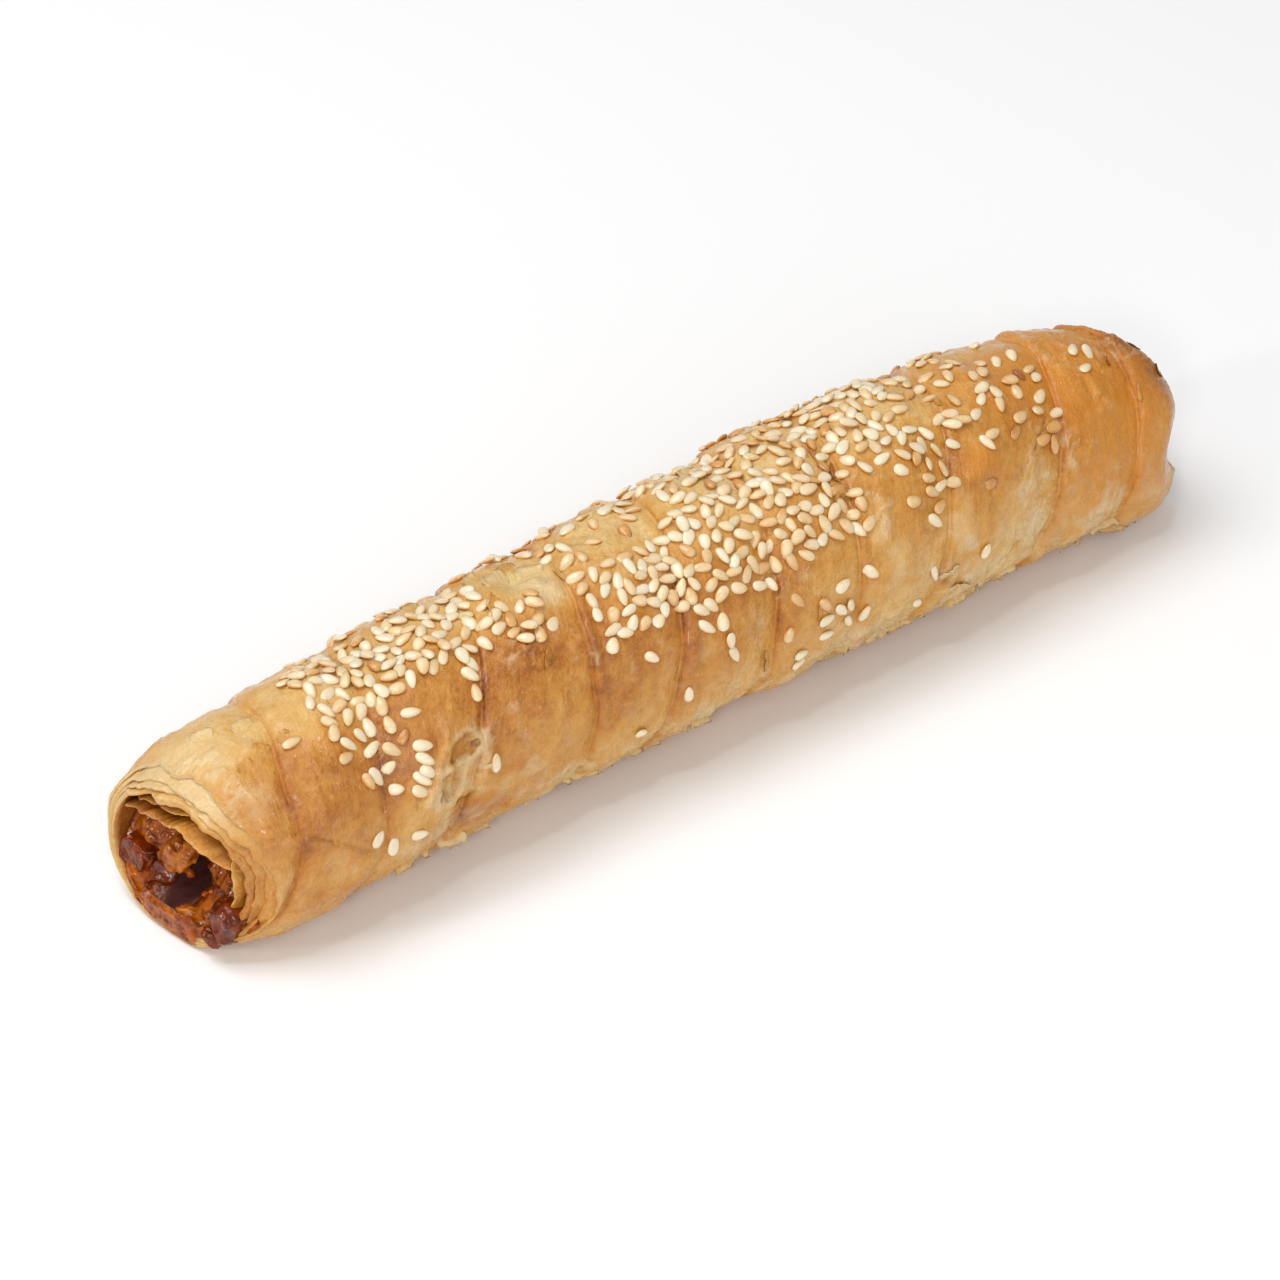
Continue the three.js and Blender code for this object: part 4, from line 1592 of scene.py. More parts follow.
@dataclass
class InnerSheet:
    """A loose sheet of dough that hangs into the near opening, oily and stained by the filling, darkened
    deeper in with painted shade.
    """

    pastry: Pastry
    # angle, millimetres that it hangs clear of the bore, depth of its edge in the end
    hangs: tuple[Triple, ...]
    thickness: float = 0.5
    # rings from the sheet's root to its edge: depth behind the edge, and share of the thickness
    profile: tuple[Place, ...] = (
        (7.5, 1.0), (4.5, 1.0), (2.6, 1.0), (1.4, 1.0), (0.6, 1.0), (0.2, 0.85), (0.03, 0.45)
    )
    wave: float = 0.6
    tip_most: float = -4.5
    curl: float = 0.5
    columns: int = 150
    # columns over which its table of places is smoothed
    smoothing: int = 9
    brown: float = 0.42
    sauce: float = 0.05
    noise: Noise = field(default_factory=lambda: Noise(31))

    def build(self, name: str, material: Material) -> Object:
        """Builds the sheet.

        Args:
            name: the piece's name.
            material: its finish.

        Returns:
            The object.
        """
        angles, clears, tips = zip(*self.hangs)
        angle = np.linspace(angles[0], angles[-1], self.columns)
        even = np.zeros_like(angle)
        clear, tip = (self.smoothed(np.interp(angle, angles, table)) for table in (clears, tips))
        waves = self.noise.at(angle / 11.0)
        clear = clear + self.wave * waves * smoothstep(clear, 0.3, 1.5)
        tip = tip + 0.5 * self.noise.layered(angle / 15.0, even + 4, octaves=2)
        wall = self.pastry.surface.roll.wall(angle)
        rows = [(back, -side) for back, side in self.profile] + [(0.0, 0.0), *self.profile[::-1]]
        curl = self.curl * self.noise.at(angle / 11.0, even + 8)
        points = []
        brown = []
        for back, side in rows:
            inwards = clear + side * self.thickness / 2 + curl * math.exp(-back / 1.3)
            depth = np.maximum(tip, self.tip_most) + back
            points.append(self.pastry.wall_point(End.NEAR, 1 + inwards / wall, depth, angle))
            uneven = self.noise.layered(angle / 9.0, even + back / 2)
            # browning with random unevenness, plus painted shade that darkens the sheet the deeper it lies
            # behind its edge
            brown.append(self.brown + 0.16 * uneven + 0.1 * back)
        brown = np.stack(brown)
        tones = {
            "brown": brown,
            # stain and sauce rise with that brown, so they carry its painted shade in the deep part
            "stain": np.clip(brown - 0.6, 0, 0.6),
            "pale": np.full_like(brown, 0.05),
            "sauce": self.sauce + 0.36 * brown + 0.35 * smoothstep(angle, 80, 110),
            "glaze": np.full_like(brown, 0.4),
        }
        piece = Piece(name)
        piece.add(Sheet(np.stack(points), tones))
        return piece.make(material, "pastry")

    def smoothed(self, values: Array) -> Array:
        """Takes the corners off a row of values."""
        window = np.ones(self.smoothing) / self.smoothing
        return np.convolve(np.pad(values, self.smoothing // 2, "edge"), window, "valid")


# the loose sheets of the near opening by name, each with how it hangs
INNER_SHEETS: dict[str, tuple[Triple, ...]] = {
    "inner_sheet_top": (
        (8, 0.2, 2.0), (22, 1.9, -3.2), (34, 3.4, -3.8), (46, 2.7, -4.2), (58, 3.8, -3.8), (70, 3.0, -3.6),
        (84, 4.0, -2.8), (98, 5.0, -2.4), (112, 5.4, -2.0), (128, 4.6, -1.6), (142, 3.0, -1.0),
        (156, 1.4, 0.0), (170, 0.2, 1.5),
    ),
    "inner_sheet_back": (
        (70, 0.2, 1.0), (84, 1.6, -1.2), (100, 2.4, -1.4), (118, 2.2, -1.0), (136, 1.2, -0.4),
        (152, 0.1, 1.0),
    ),
    "inner_sheet_front": (
        (-38, 0.1, 2.0), (-24, 1.0, -1.2), (-10, 2.0, -2.8), (4, 1.4, -3.4), (16, 2.3, -3.2), (28, 1.2, -2.4),
        (40, 0.1, 1.0),
    ),
}


@dataclass(frozen=True)
class SeedPatch:
    """A patch of seeds: its range along and round the roll, how many, and how toasted."""

    first: float
    last: float
    low: float
    high: float
    count: int
    toast: float = 0.2


@dataclass
class Seeds:
    """Sesame seeds: flat drops that lie on the pastry at all turns, some of them on others."""

    surface: Surface
    length: float = 3.25
    width: float = 2.05
    thickness: float = 0.9
    taper: float = 0.25
    rings: int = 9
    sides: int = 12
    spacing: float = 1.85
    crowd: float = 2.6
    lift: float = 0.2
    pile: float = 0.6
    tries: int = 40
    seed: int = 41
    tilts: Place = (0.2, 0.14)
    smallest: Triple = (0.84, 0.84, 0.8)
    largest: Triple = (1.08, 1.12, 1.2)
    # single seeds: distance, angle, turn and toasting
    singles: tuple[tuple[float, float, float, float], ...] = (
        (24.6, 59, -50, 0.1), (27.2, 60, -70, 0.1), (29.4, 62, 80, 0.1), (32.4, 58, 80, 0.25),
        (36.4, 58, -20, 0.1), (27.9, 52, 20, 0.15), (30.7, 47, -50, 0.3), (33.4, 50, 35, 0.8),
        (23, 54, 0, 0.4), (24.6, 39, -85, 0.45), (26.4, 39, -80, 0.1), (29, 40, 20, 0.15),
        (35.5, 42, -25, 0.1), (35, 36, -50, 0.1), (33.4, 28, -55, 0.1), (34.6, 30, -50, 0.1),
        (32.3, 23, -40, 0.2), (28.6, 29, -20, 0.1), (30.7, 1, -15, 0.0), (22.9, 9, 40, 0.0),
        (25.5, 2, 60, 0.0), (48, 52, 70, 0.3), (48.7, 61, -60, 0.1), (50, 65, -70, 0.1),
        (46.6, 18, 80, 0.15), (16.8, 73, 0, 0.3), (59.7, 76, 70, 0.6), (62.4, 80, 50, 0.15),
        (62.4, 63, 75, 0.45), (63.8, 70, 30, 0.4), (78.4, 29, -45, 0.1), (83.6, 3, 85, 0.0),
        (74.8, -9, -40, 0.1), (89.1, 31, -50, 0.1), (92.1, 30, 70, 0.15), (89.4, 39, -45, 0.15),
        (91.2, 39, -60, 0.2), (92.6, 20, -85, 0.1), (92.9, 13, -80, 0.1), (103.2, 35, -70, 0.1),
        (101, 37, -20, 0.1), (106.6, 23, -60, 0.5), (103.7, 9, 60, 0.4), (111.4, 15, -60, 0.5),
        (115.4, 20, 20, 0.1), (111.4, 7, 0, 0.1), (114.6, 8, -50, 0.1), (116.6, 8, -60, 0.1),
        (111.2, -1, -10, 0.05), (116.2, -1, -60, 0.1), (119.3, 0, 60, 0.05), (106, -5, -10, 0.05),
        (105.7, -10, 0, 0.1), (121.2, 20, -45, 0.1), (133.5, 56, -40, 0.1), (133, 41, -10, 0.4),
        (136, 28, -55, 0.15), (138, 33, 15, 0.5), (134.4, 2, -75, 0.0), (131.4, -13, -45, 0.1),
        (144.4, 4, 60, 0.05), (148.6, 33, 10, 0.75), (145.1, 57, -35, 0.1), (150.6, 51, -65, 0.1),
        (152.6, 54, 10, 0.35), (159.8, 57, 10, 0.4), (157.4, 51, 30, 0.7), (162.3, 43, 10, 0.6),
        (164, 39, 80, 0.5), (179.2, 83, 45, 0.15), (181.6, 79, -80, 0.1), (178.5, 71, 20, 0.2),
    )
    patches: tuple[SeedPatch, ...] = each(SeedPatch, (
        (23, 35, 66, 112, 36), (34, 58, 70, 112, 68), (58, 66, 62, 84, 8, 0.35),
        (72.5, 90, 42, 80, 54, 0.18), (72, 100, 84, 116, 24), (90, 124, 40, 62, 60, 0.26),
        (90, 124, 60, 86, 62, 0.18), (97, 125, 84, 116, 36), (125, 142, 62, 118, 58, 0.16),
        (142, 158, 62, 112, 26, 0.3), (158, 170, 44, 96, 13, 0.3), (137, 142, 38, 62, 8, 0.3),
        (30, 100, 116, 165, 56), (95, 168, 116, 165, 60, 0.2),
    ))

    def spots(self) -> Array:
        """Gives the distance and angle of every seed."""
        placed = self.places(np.random.default_rng(self.seed))
        return np.array([place[:2] for place in placed])

    def drop(self) -> tuple[Array, Array]:
        """Makes the shape of one seed about its middle.

        Returns:
            Points of its rings, and how far along it each ring lies, from 0 at the round end to 1 at the tip.
        """
        turn = np.linspace(0.06, math.pi - 0.06, self.rings)
        along = -np.cos(turn)
        girth = np.sin(turn) * (1 - self.taper * along)
        girth /= girth.max()
        side = np.linspace(0, 2 * math.pi, self.sides, endpoint=False)
        x = np.broadcast_to(along[:, None] * self.length / 2, (self.rings, self.sides))
        y = girth[:, None] * np.cos(side) * self.width / 2
        z = girth[:, None] * np.sin(side) * self.thickness / 2
        return np.stack([x, y, z], -1), (along + 1) / 2

    def places(self, rng: np.random.Generator) -> list[tuple[float, float, float, float, float]]:
        """Lays the single seeds and scatters the others over their patches.

        Args:
            rng: the source of random numbers.

        Returns:
            Distance, angle, turn, toasting and height above the pastry of each seed.
        """
        placed = [(*single, self.lift) for single in self.singles]
        spots = np.array([(along, angle * DEGREE) for along, angle, *_ in self.singles])
        for patch in self.patches:
            for _ in range(patch.count):
                for _ in range(self.tries):
                    along = rng.uniform(patch.first, patch.last)
                    angle = rng.uniform(patch.low, patch.high)
                    flat = np.array([along, angle * DEGREE])
                    nearest = np.hypot(*(spots - flat).T).min()
                    if nearest >= self.spacing:
                        break
                else:
                    continue
                crowded = max(0.0, 1 - (nearest - self.spacing) / (self.crowd - self.spacing))
                toast = patch.toast + rng.normal(0, 0.12)
                toast += 0.4 if rng.random() < 0.06 else 0
                height = self.lift + self.pile * crowded * rng.random()
                placed.append((along, angle, rng.uniform(0, 360), toast, height))
                spots = np.vstack([spots, flat])
        return placed

    def build(self, material: Material) -> Object:
        """Builds all the seeds as one piece.

        Args:
            material: their finish.

        Returns:
            The object.
        """
        rng = np.random.default_rng(self.seed)
        placed = self.places(rng)
        along, angle, turns, toast, height = (np.array(column) for column in zip(*placed))
        middle = self.surface.at(along, angle, height)
        lengthwise, round_it, out = self.surface.axes(along, angle)
        shape, rows = self.drop()
        under = 0.5 - shape[..., 2] / self.thickness
        edge = np.abs(shape[..., 1]) / (self.width / 2)
        # toasting towards the tip; on the rims and underside, browning where oil collects together with
        # painted shade
        toast_and_shade = 0.3 * rows[:, None] ** 4 + 0.34 * edge**3
        toast_and_shade = toast_and_shade + 0.4 * under**2 - 0.14
        piece = Piece("sesame_seeds")
        for i, tile in enumerate(tiles(len(placed))):
            tilts = [rng.normal(0, tilt) for tilt in self.tilts]
            turn = Euler((*tilts, math.radians(turns[i])), "XYZ")
            own = shape * rng.uniform(self.smallest, self.largest)
            axes = np.stack([lengthwise[i], round_it[i], out[i]])
            points = middle[i] + own @ np.array(turn.to_matrix()).T @ axes
            tones = {"toast": toast[i] + toast_and_shade}
            piece.add(Sheet(points, tones, round_columns=True, pointed=True, tile=tile))
        return piece.make(material, "pastry")


@dataclass(frozen=True)
class Flake:
    """A thin shred of dough: its place, length, width and turn, how far its edge lifts, its tones and tip."""

    along: float
    angle: float
    length: float
    width: float
    turn: float
    curl: float
    brown: float
    pale: float
    tip: float = 0.0


@dataclass
class Flakes:
    """Shreds of dough that have come loose from the outside: torn edges and curls."""

    surface: Surface
    thickness: float = 0.14
    rows: int = 11
    columns: int = 6
    ragged: float = 0.28
    # torn edges and curls that stand out
    chosen: tuple[Flake, ...] = each(Flake, (
        (45.6, 17.4, 2.4, 1.0, 10, 0.3, 0.2, 0.5), (19.1, 52, 3.0, 1.8, -15, 0.6, 0.8, 0.0),
        (8.4, 75, 3.2, 1.8, 20, 0.6, 0.5, 0.1), (12.6, 79, 2.8, 1.6, -30, 0.6, 0.55, 0.1),
        (16.4, 78, 2.4, 1.5, 10, 0.6, 0.5, 0.1), (171.6, -40, 3.6, 0.6, -80, 0.2, 0.25, 0.5, 1.6),
        (150.6, -41, 3.0, 0.5, -100, 0.2, 0.3, 0.5, 1.4), (129.4, -40, 3.2, 0.6, -70, 0.2, 0.25, 0.5, 1.5),
        (67, 110, 3.6, 3.0, 20, 0.3, 0.45, 0.0), (72.4, 90, 5.0, 1.4, 80, 0.8, 0.3, 0.3),
        (58.6, 84, 6.0, 2.2, 60, 1.0, 0.4, 0.0), (56.5, 80, 4.0, 1.4, 10, 0.5, 0.55, 0.0),
        (61.6, 50.5, 3.6, 1.5, 55, 0.7, 0.6, 0.0), (122.8, 78, 8.0, 2.0, 84, 0.6, 0.7, 0.2),
        (123.4, 70, 4.0, 1.4, 70, 0.6, 0.8, 0.1), (121.4, 57.5, 3.4, 1.2, 5, 0.8, 0.5, 0.0),
        (99.6, -2, 4.0, 1.3, 80, 0.8, 0.35, 0.4), (107, 53, 3.6, 1.6, -10, 0.5, 0.55, 0.0),
        (110.5, 14, 4.0, 1.2, 70, 0.6, 0.5, 0.0), (147.8, 79, 1.8, 1.3, 60, 0.6, 0.6, 0.0),
        (184, 70.5, 1.7, 1.1, 60, 0.9, 1.0, 0.0), (185.5, 49, 3.6, 1.1, 60, 0.5, 0.5, 0.1),
        (137, 0, 4.5, 1.6, 20, 0.7, 0.25, 0.5), (139.5, -12, 6.0, 2.0, -30, 0.8, 0.25, 0.5),
        (63.5, 104, 5.0, 3.4, 15, 0.9, 0.15, 0.5), (69.0, 100, 4.6, 3.0, -20, 0.8, 0.2, 0.5),
        (60.5, 112, 4.0, 2.6, 30, 0.9, 0.25, 0.4), (50, 118, 3.4, 2.0, 10, 0.8, 0.3, 0.3),
        (84, 116, 3.2, 2.0, -25, 0.8, 0.25, 0.4), (104, 114, 3.4, 2.2, 20, 0.8, 0.2, 0.5),
        (117, 112, 3.0, 1.8, -10, 0.8, 0.3, 0.3), (136, 116, 3.2, 2.0, 25, 0.8, 0.25, 0.4),
        (13.5, 98, 4.0, 2.4, 10, 0.7, 0.2, 0.4), (8, 106, 3.4, 2.2, -20, 0.7, 0.15, 0.5),
        (193.2, 58, 2.6, 1.4, 80, 0.5, 0.85, 0.0), (193.6, 78, 2.8, 1.4, 95, 0.5, 0.8, 0.0),
    ))
    # ragged scraps along the foot of the front and of the back
    scraps: int = 56
    scrap_seed: int = 67
    scrap_along: Range = (20, 186)
    foot: Range = (-43.0, -24.0)
    scrap_length: Range = (2.2, 6.5)
    scrap_width: Range = (1.2, 2.6)
    scrap_brown: Range = (0.12, 0.36)
    scrap_pale: Range = (0.25, 0.6)
    scrap_curl: Range = (0.5, 1.3)
    # one scrap of so many lies on the back
    back_every: int = 3
    fray_seed: int = 73
    taper: float = 0.92
    glaze: float = 0.2

    def scattered(self) -> list[Flake]:
        """Scatters scraps along the foot, their free edges downwards.

        Returns:
            The scraps.
        """
        rng = np.random.default_rng(self.scrap_seed)
        made = []
        for number in range(self.scraps):
            angle = rng.uniform(*self.foot)
            turn = 180 + rng.normal(0, 22.0)
            if number % self.back_every == 0:
                angle, turn = 180 - angle, turn - 180
            sizes = rng.uniform(*self.scrap_length), rng.uniform(*self.scrap_width)
            tones = rng.uniform(*self.scrap_brown), rng.uniform(*self.scrap_pale)
            along = rng.uniform(*self.scrap_along)
            made.append(Flake(along, angle, *sizes, turn, rng.uniform(*self.scrap_curl), *tones))
        return made

    def peel(self, flake: Flake, noise: Noise, number: int) -> Sheet:
        """Makes a flake that grows out of the pastry at one edge and lifts at the other, frayed edge.

        Args:
            flake: the flake.
            noise: field that frays its edges.
            number: its number, for the fraying.

        Returns:
            Rings round the flake, from one end to the other.
        """
        run = np.linspace(-1, 1, self.rows)
        spread = np.linspace(-1, 1, self.columns)
        frayed = 1 + self.ragged * noise.layered(run * 2.2, run * 0 + 3.7 * number)
        half = np.sqrt(1 - self.taper * run**4)
        bend = 0.35 * noise.at(run * 0.9 + 11, run * 0 + 1.9 * number)
        across = np.concatenate([spread, spread[::-1]])
        face = np.concatenate([np.ones(self.columns), np.zeros(self.columns)])
        free = half[:, None] * across[None] * np.where(across[None] > 0, frayed[:, None], 1)
        x = run[:, None] * flake.length / 2 + 0 * free
        y = (free + bend[:, None]) * flake.width / 2
        turn = math.radians(flake.turn)
        along = flake.along + x * math.cos(turn) - y * math.sin(turn)
        along = np.clip(along, 0.5, self.surface.roll.length - 0.5)
        angle = flake.angle + (x * math.sin(turn) + y * math.cos(turn)) / DEGREE
        rise = 0.5 + 0.5 * across[None] + 0 * x
        curls = noise.at(run * 1.7, run * 0 + number)[:, None]
        curls = 0.75 + 0.5 * curls
        lift = flake.curl * rise**2 * curls + self.thickness * (face[None] - 1.1 + rise)
        lift = lift + flake.tip * ((1 + run[:, None]) / 2) ** 2
        own = {"brown": flake.brown, "stain": 0.0, "pale": flake.pale, "sauce": 0.0, "glaze": self.glaze}
        under = self.surface.tones(along, angle)
        loose = smoothstep(rise, 0.1, 0.6)
        tones = {name: value + (own[name] - value) * loose for name, value in under.items()}
        return Sheet(self.surface.at(along, angle, lift), tones, round_columns=True, pointed=True)

    def build(self, material: Material) -> Object:
        """Builds the flakes as one piece.

        Args:
            material: their finish.

        Returns:
            The object.
        """
        noise = Noise(self.fray_seed)
        piece = Piece("pastry_flakes")
        flakes = [*self.chosen, *self.scattered()]
        for number, tile in enumerate(tiles(len(flakes))):
            sheet = self.peel(flakes[number], noise, number)
            sheet.tile = tile
            piece.add(sheet)
        return piece.make(material, "pastry")


@dataclass(frozen=True)
class Lump:
    """One cut bit of the filling: what it is, its middle, its half sizes, its turn and how square it is."""

    bit: Bit
    middle: Triple
    half: Triple
    turn: Triple
    square: float


@dataclass
class Filling:
    """The filling: a rod through the roll with lumpy ends, and the bits of meat and vegetable in them."""

    pastry: Pastry
    gap: float = 0.35
    # depth of the near face's edge by angle
    near: tuple[Place, ...] = (
        (-90, 0.1), (-45, 0.8), (-15, 3.4), (10, 7.5), (50, 11.5), (90, 13.0), (130, 11.5), (160, 7.0),
        (180, 3.6), (200, 1.2), (225, 0.3),
    )
    far: float = 5.0
    face_rings: int = 46
    rod_rings: int = 20
    columns: int = 150
    pocket: float = 7.0
    pocket_radius: float = 4.4
    pocket_place: Place = (2.5, 6.5)
    # heights over which painted shade darkens the near face
    shade: Range = (12, 19)
    rod_tile: Tile = (0.0, 0.0, 1.0, 0.89)
    spill_tile: Tile = (0.0, 0.9, 1.0, 1.0)
    # the sauce on the near lip: its angles and columns, its shares of the wall and rows
    spill_angles: tuple[float, float, int] = (-136, -16, 110)
    spill_shares: tuple[float, float, int] = (2.4, 0.06, 36)
    spill_sunk: float = 0.35
    # lumps of a face: how far they swing, their grain, the shifts of their field and its layers
    lumpy: tuple[tuple[float, float, float, float, int], ...] = (
        (1.1, 4.6, 0, 0, 1), (0.7, 2.2, 0, 9, 1), (0.3, 0.9, 5, 0, 3)
    )
    lump_rows: int = 24
    lump_sides: int = 34
    noise: Noise = field(default_factory=lambda: Noise(53))
    lumps: tuple[Lump, ...] = (
        Lump(Bit.MEAT, (-95.2, 11.2, 8.4), (2.5, 2.9, 2.5), (0.35, 0.1, 0.25), 0.4),
        Lump(Bit.MEAT, (-93.6, 8.0, 5.6), (2.2, 2.4, 2.2), (0.2, 0.5, 0.9), 0.5),
        Lump(Bit.ONION, (-92.6, 4.7, 10.7), (2.0, 2.5, 2.9), (0.5, 0.3, 0.4), 0.7),
        Lump(Bit.ONION, (-91.6, 2.6, 12.6), (1.5, 1.7, 1.6), (0.2, 0.6, 0.1), 0.8),
        Lump(Bit.ONION, (-94.4, -1.4, 3.4), (1.8, 2.6, 1.4), (0.1, 0.4, 0.5), 0.7),
        Lump(Bit.MEAT, (-91.4, -9.2, 7.2), (3.6, 3.1, 3.2), (0.4, 0.3, 0.2), 0.7),
        Lump(Bit.MEAT, (-94.8, -8.0, 4.0), (1.4, 1.8, 1.2), (0.2, 0.6, 0.4), 0.7),
        Lump(Bit.PEPPER, (-96.9, 12.4, 10.2), (0.45, 0.5, 1.5), (0.3, 0.2, 0.1), 0.7),
        Lump(Bit.PEPPER, (-96.4, 12.8, 5.2), (0.8, 0.9, 0.9), (0.3, 0.2, 0.1), 0.8),
    )
    crumbs: int = 16
    far_lumps: int = 16
    scatter_seed: int = 61
    crumb_angles: Range = (-170, -10)
    crumb_size: Range = (0.35, 0.8)
    far_size: Range = (1.1, 2.6)

    @property
    def roll(self) -> Roll:
        """The form of the roll that it fills."""
        return self.pastry.surface.roll

    def start(self, angle: Array) -> Array:
        """Gives the depth of the near face's edge: it leans back from the floor to the top."""
        return np.interp(angle, *zip(*self.near), period=360)

    def edge(self, end: End, angle: Array) -> Array:
        """Gives points where the face of an end meets the bore."""
        along = self.start(angle) if end is End.NEAR else np.full_like(angle, self.roll.length - self.far)
        return self.roll.bore(along, angle, self.gap)

    def spill(self) -> Sheet:
        """Makes the sauce that has run out over the lip under the near opening.

        Returns:
            The sauce as a thin sheet on the lip, sunk into it at its borders.
        """
        angle = np.linspace(*self.spill_angles)[None]
        share = np.linspace(*self.spill_shares)[:, None]
        uneven = self.noise.layered(angle / 11, share * 3)
        cover = 1 - (turn_between(SAUCED_AT, angle) / 50.0) ** 2
        cover = cover - np.maximum(0, (0.9 - share) / 0.75) ** 2 - np.maximum(0, (share - 1.6) / 0.8) ** 2
        cover = cover + 0.45 * uneven - 1.6 * bare_lip(angle)
        bead = 0.2 + 0.2 * self.noise.layered(angle / 6, share * 3 + 9)
        depth = self.spill_sunk - (self.spill_sunk + bead) * smoothstep(cover, 0, 0.5)
        points = self.pastry.wall_point(End.NEAR, share, depth, angle)
        return Sheet(points, {"dark": np.zeros(points.shape[:2])}, tile=self.spill_tile)

    def face(self, end: End, share: Array, angle: Array) -> Array:
        """Makes the lumpy face of an end.

        Args:
            end: which end.
            share: share of the way from the middle to the bore.
            angle: degrees round the roll.

        Returns:
            Points in millimetres.
        """
        middle = self.edge(end, np.array([90.0, -90.0])).mean(0)
        points = middle + (self.edge(end, angle) - middle) * share[..., None]
        y, z = points[..., 1], points[..., 2]
        inside = 1 - share**6
        lumps = sum(
            swing * self.noise.layered(y / grain + shift_y, z / grain + shift_z, octaves=octaves)
            for swing, grain, shift_y, shift_z, octaves in self.lumpy
        )
        if end is End.NEAR:
            swell = bump(turn_between(-92.0, angle), 58.0)
            lumps = lumps + 1.6 * share**2 * swell
        points[..., 0] -= end.value * inside * lumps
        if end is End.NEAR:
            points[..., 0] += self.pocket * inside * self.hollow(points)
        return points

    def hollow(self, points: Array) -> Array:
        """Gives how far points lie within the pocket of the near face, which is sunk and also painted with
        shade.
        """
        return np.prod(bump(points[..., 1:] - np.array(self.pocket_place), self.pocket_radius), -1)

    def scattered(self) -> list[Lump]:
        """Scatters crumbs over the near face and bits over the far face.

        Returns:
            The lumps.
        """
        rng = np.random.default_rng(self.scatter_seed)
        kinds = list(Bit)
        made = []
        for number in range(self.crumbs + self.far_lumps):
            end = End.NEAR if number < self.crumbs else End.FAR
            share = np.sqrt(rng.uniform(0.02, 0.8))
            angle = rng.uniform(*(self.crumb_angles if end is End.NEAR else (0, 360)))
            middle = self.face(end, np.array([share]), np.array([angle]))[0]
            size = rng.uniform(*(self.crumb_size if end is End.NEAR else self.far_size))
            half = tuple(size * rng.uniform(0.7, 1.2, 3))
            turn = tuple(rng.uniform(0, math.pi, 3))
            bit = kinds[rng.integers(len(kinds))]
            middle[0] += end.value * 0.35 * size
            made.append(Lump(bit, tuple(middle), half, turn, rng.uniform(0.6, 0.95)))
        return made

    def solid(self, lump: Lump, number: int) -> Array:
        """Makes the rounded, uneven shape of a lump.

        Args:
            lump: the lump.
            number: its number, for the unevenness.

        Returns:
            Points in rings.
        """
        turn = np.linspace(0.05, math.pi - 0.05, self.lump_rows)[:, None]
        side = np.linspace(0, 2 * math.pi, self.lump_sides, endpoint=False)[None]
        axes = [np.sin(turn) * np.cos(side), np.sin(turn) * np.sin(side), np.cos(turn) + 0 * side]
        uneven = self.noise.layered(*[axis * 1.3 + 6.1 * number for axis in axes])
        ball = np.stack(axes, -1)
        boxed = np.sign(ball) * np.abs(ball) ** lump.square
        shape = boxed * (1 + 0.24 * uneven)[..., None] * np.array(lump.half)
        return shape @ np.array(Euler(lump.turn, "XYZ").to_matrix()).T + np.array(lump.middle)

    def build(self, finishes: dict[Bit, Material], sauce: Material) -> None:
        """Builds the rod and the bits.

        Args:
            finishes: the finish of each kind of bit.
            sauce: the finish of the rod.
        """
        angle = np.linspace(0, 360, self.columns, endpoint=False)[None]
        share = (np.linspace(0.02, 1, self.face_rings) ** 0.85)[:, None]
        share, spread = np.broadcast_arrays(share, angle)
        near = self.face(End.NEAR, share, spread)
        far = self.face(End.FAR, share[::-1], spread)
        steps = np.linspace(0, 1, self.rod_rings + 2)[1:-1, None]
        along = self.start(angle) + (self.roll.length - self.far - self.start(angle)) * steps
        rod = self.roll.bore(along, np.broadcast_to(angle, along.shape), self.gap)
        piece = Piece("filling_core")
        rows = np.concatenate([near, rod, far])
        dark = np.zeros(rows.shape[:2])
        # painted shade over the pocket and the top of the near face
        dark[: self.face_rings] = np.maximum(self.hollow(near), smoothstep(near[..., 2], *self.shade))
        piece.add(Sheet(rows, {"dark": dark}, round_columns=True, pointed=True, tile=self.rod_tile))
        piece.add(self.spill())
        piece.make(sauce, "filling", "filling")
        lumps = [*self.lumps, *self.scattered()]
        for bit, finish in finishes.items():
            own = [(number, lump) for number, lump in enumerate(lumps) if lump.bit is bit]
            piece = Piece("filling_" + bit.value)
            for (number, lump), tile in zip(own, tiles(len(own))):
                piece.add(Sheet(self.solid(lump, number), {}, round_columns=True, pointed=True, tile=tile))
            piece.make(finish, "filling")


@dataclass(frozen=True)
class Lamp:
    """A soft square light: its name, its place and side in metres, and its power in watts."""

    name: str
    place: Triple
    size: float
    power: float


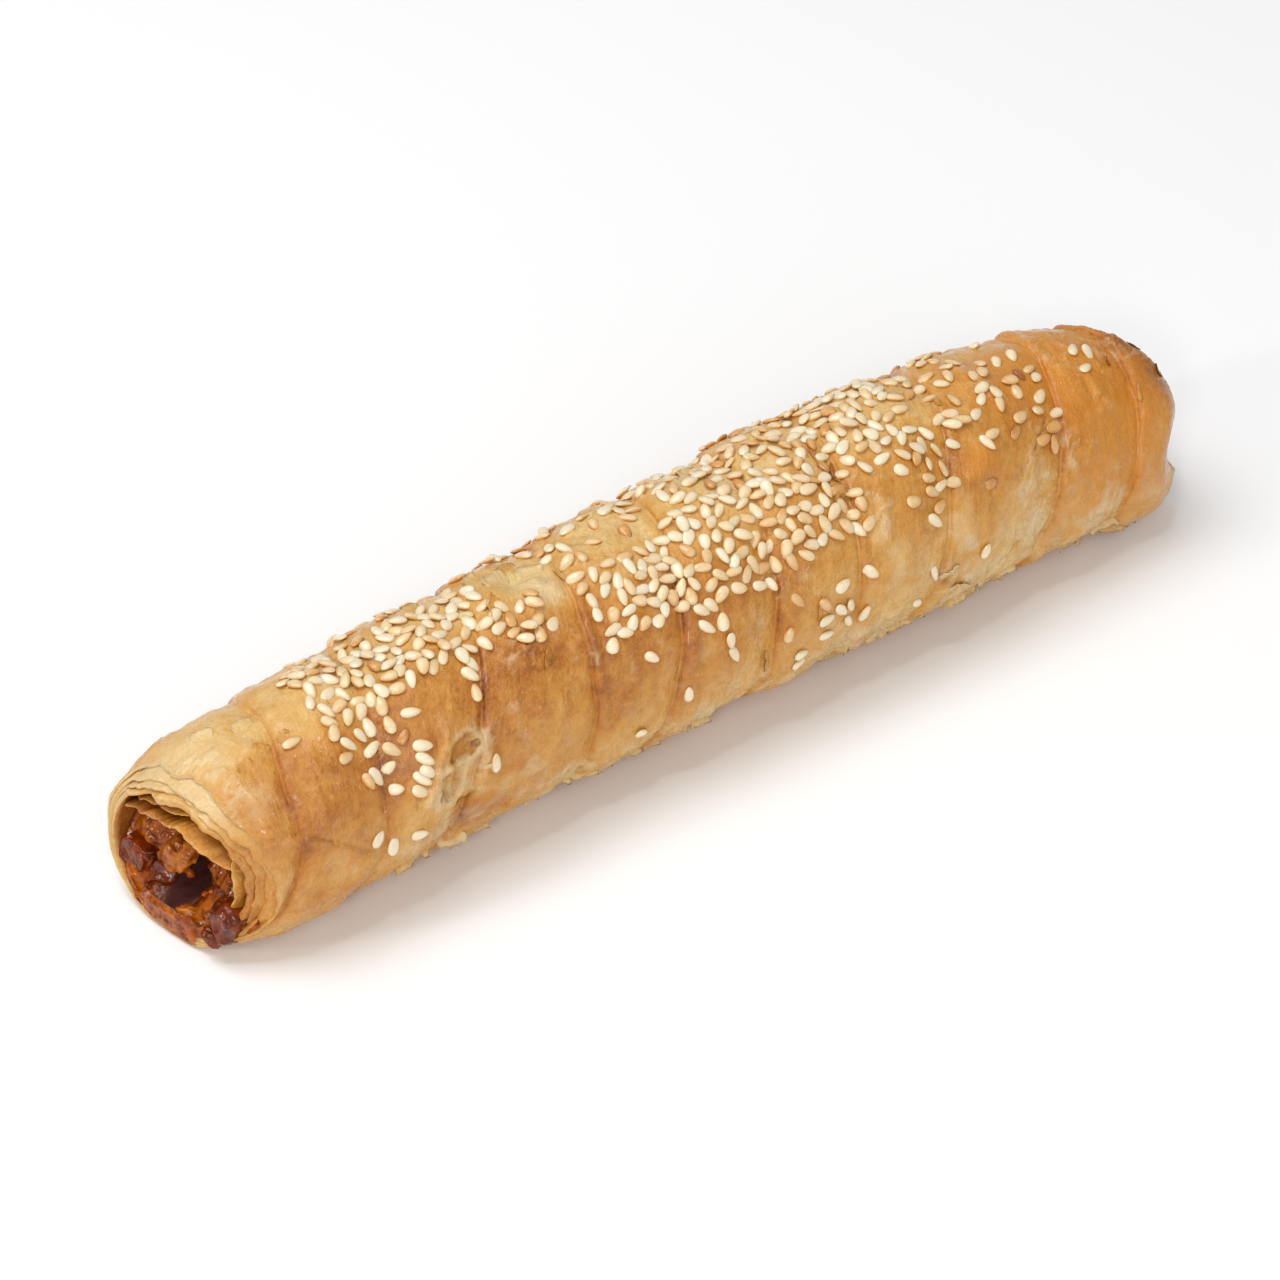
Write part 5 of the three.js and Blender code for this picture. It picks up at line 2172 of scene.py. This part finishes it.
@dataclass
class Studio:
    """The pale floor, the soft light and the camera."""

    azimuth: float = -36.7
    elevation: float = 40.6
    distance: float = 750.0
    target: Triple = (-5.1, 0.81, 13.0)
    lens: float = 128.04
    sensor: float = 36.0
    floor_half: float = 3.0
    floor_height: float = -0.0003
    floor_colour: Colour = srgb(246, 246, 246)
    world_strength: float = 0.34
    lamps: tuple[Lamp, ...] = (
        Lamp("key_light", (-0.3, 0.3, 1.1), 0.8, 7.8),
        Lamp("front_light", (-0.35, -1.1, 0.8), 1.2, 6.4),
        Lamp("front_glint", (-0.75, -0.7, 0.75), 0.14, 2.0),
        Lamp("left_glint", (-1.0, 0.2, 0.45), 0.13, 1.5),
        Lamp("top_glint", (-0.25, -0.15, 1.2), 0.1, 1.0),
    )

    def floor(self) -> None:
        """Lays the floor."""
        mesh = bpy.data.meshes.new("floor")
        half = self.floor_half
        corners = [(x * half, y * half, self.floor_height) for x, y in ((-1, -1), (1, -1), (1, 1), (-1, 1))]
        mesh.from_pydata(corners, [], [(0, 1, 2, 3)])
        graph = Graph("pale_floor")
        mesh.materials.append(graph.finish({"Base Color": self.floor_colour, "Roughness": 0.9}))
        made = bpy.data.objects.new("floor", mesh)
        bpy.context.scene.collection.objects.link(made)

    def hang(self, lamp: Lamp) -> None:
        """Hangs a lamp that points at the roll.

        Args:
            lamp: the lamp.
        """
        light = bpy.data.lights.new(lamp.name, "AREA")
        light.size = lamp.size
        light.energy = lamp.power
        made = bpy.data.objects.new(lamp.name, light)
        made.location = lamp.place
        made.rotation_euler = (-Vector(lamp.place)).to_track_quat("-Z", "Y").to_euler()
        bpy.context.scene.collection.objects.link(made)

    def camera(self) -> None:
        """Sets up the camera at the photograph's view."""
        turn, rise = math.radians(self.azimuth), math.radians(self.elevation)
        back = Vector((math.sin(turn) * math.cos(rise), -math.cos(turn) * math.cos(rise), math.sin(rise)))
        data = bpy.data.cameras.new("camera")
        data.lens = self.lens
        data.sensor_width = self.sensor
        made = bpy.data.objects.new("camera", data)
        made.location = (Vector(self.target) + back * self.distance) * MM
        made.rotation_euler = back.to_track_quat("Z", "Y").to_euler()
        bpy.context.scene.collection.objects.link(made)
        bpy.context.scene.camera = made

    def build(self) -> None:
        """Builds the studio."""
        scene = bpy.context.scene
        scene.view_settings.view_transform = "Standard"
        world = bpy.data.worlds.new("studio")
        world.use_nodes = True
        background = world.node_tree.nodes["Background"]
        background.inputs["Color"].default_value = (1.0, 1.0, 1.0, 1.0)
        background.inputs["Strength"].default_value = self.world_strength
        scene.world = world
        self.floor()
        for lamp in self.lamps:
            self.hang(lamp)
        self.camera()


def main() -> None:
    """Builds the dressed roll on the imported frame."""
    logging.basicConfig(level=logging.INFO, format="%(message)s")
    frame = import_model()
    LOG.info("frame: %s", ", ".join(sorted(frame["nodes"])))
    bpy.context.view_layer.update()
    surface = Surface(Roll())
    seeds = Seeds(surface)
    pastry = Pastry(surface, beds=seeds.spots())
    baked = PastryFinish("baked_pastry").make()
    skin = PastryFinish("baked_skin", pastry.unrolled()).make()
    pastry.build(skin)
    for name, hangs in INNER_SHEETS.items():
        InnerSheet(pastry, hangs).build(name, baked)
    seeds.build(SeedFinish().make())
    Flakes(surface).build(baked)
    sauce = FillingFinish("sauce", srgb(100, 32, 0), srgb(200, 108, 8), srgb(152, 62, 0), 1.7)
    bits = {
        Bit.MEAT: FillingFinish("meat", srgb(70, 19, 0), srgb(134, 54, 8), srgb(116, 40, 0)),
        Bit.ONION: FillingFinish(
            "onion", srgb(152, 70, 2), srgb(204, 124, 30), srgb(140, 56, 0), subsurface=0.3
        ),
        Bit.PEPPER: FillingFinish("pepper", srgb(186, 66, 14), srgb(224, 116, 28), srgb(150, 56, 10)),
    }
    Filling(pastry).build({bit: finish.make() for bit, finish in bits.items()}, sauce.make())
    Studio().build()


if __name__ == "__main__":
    main()
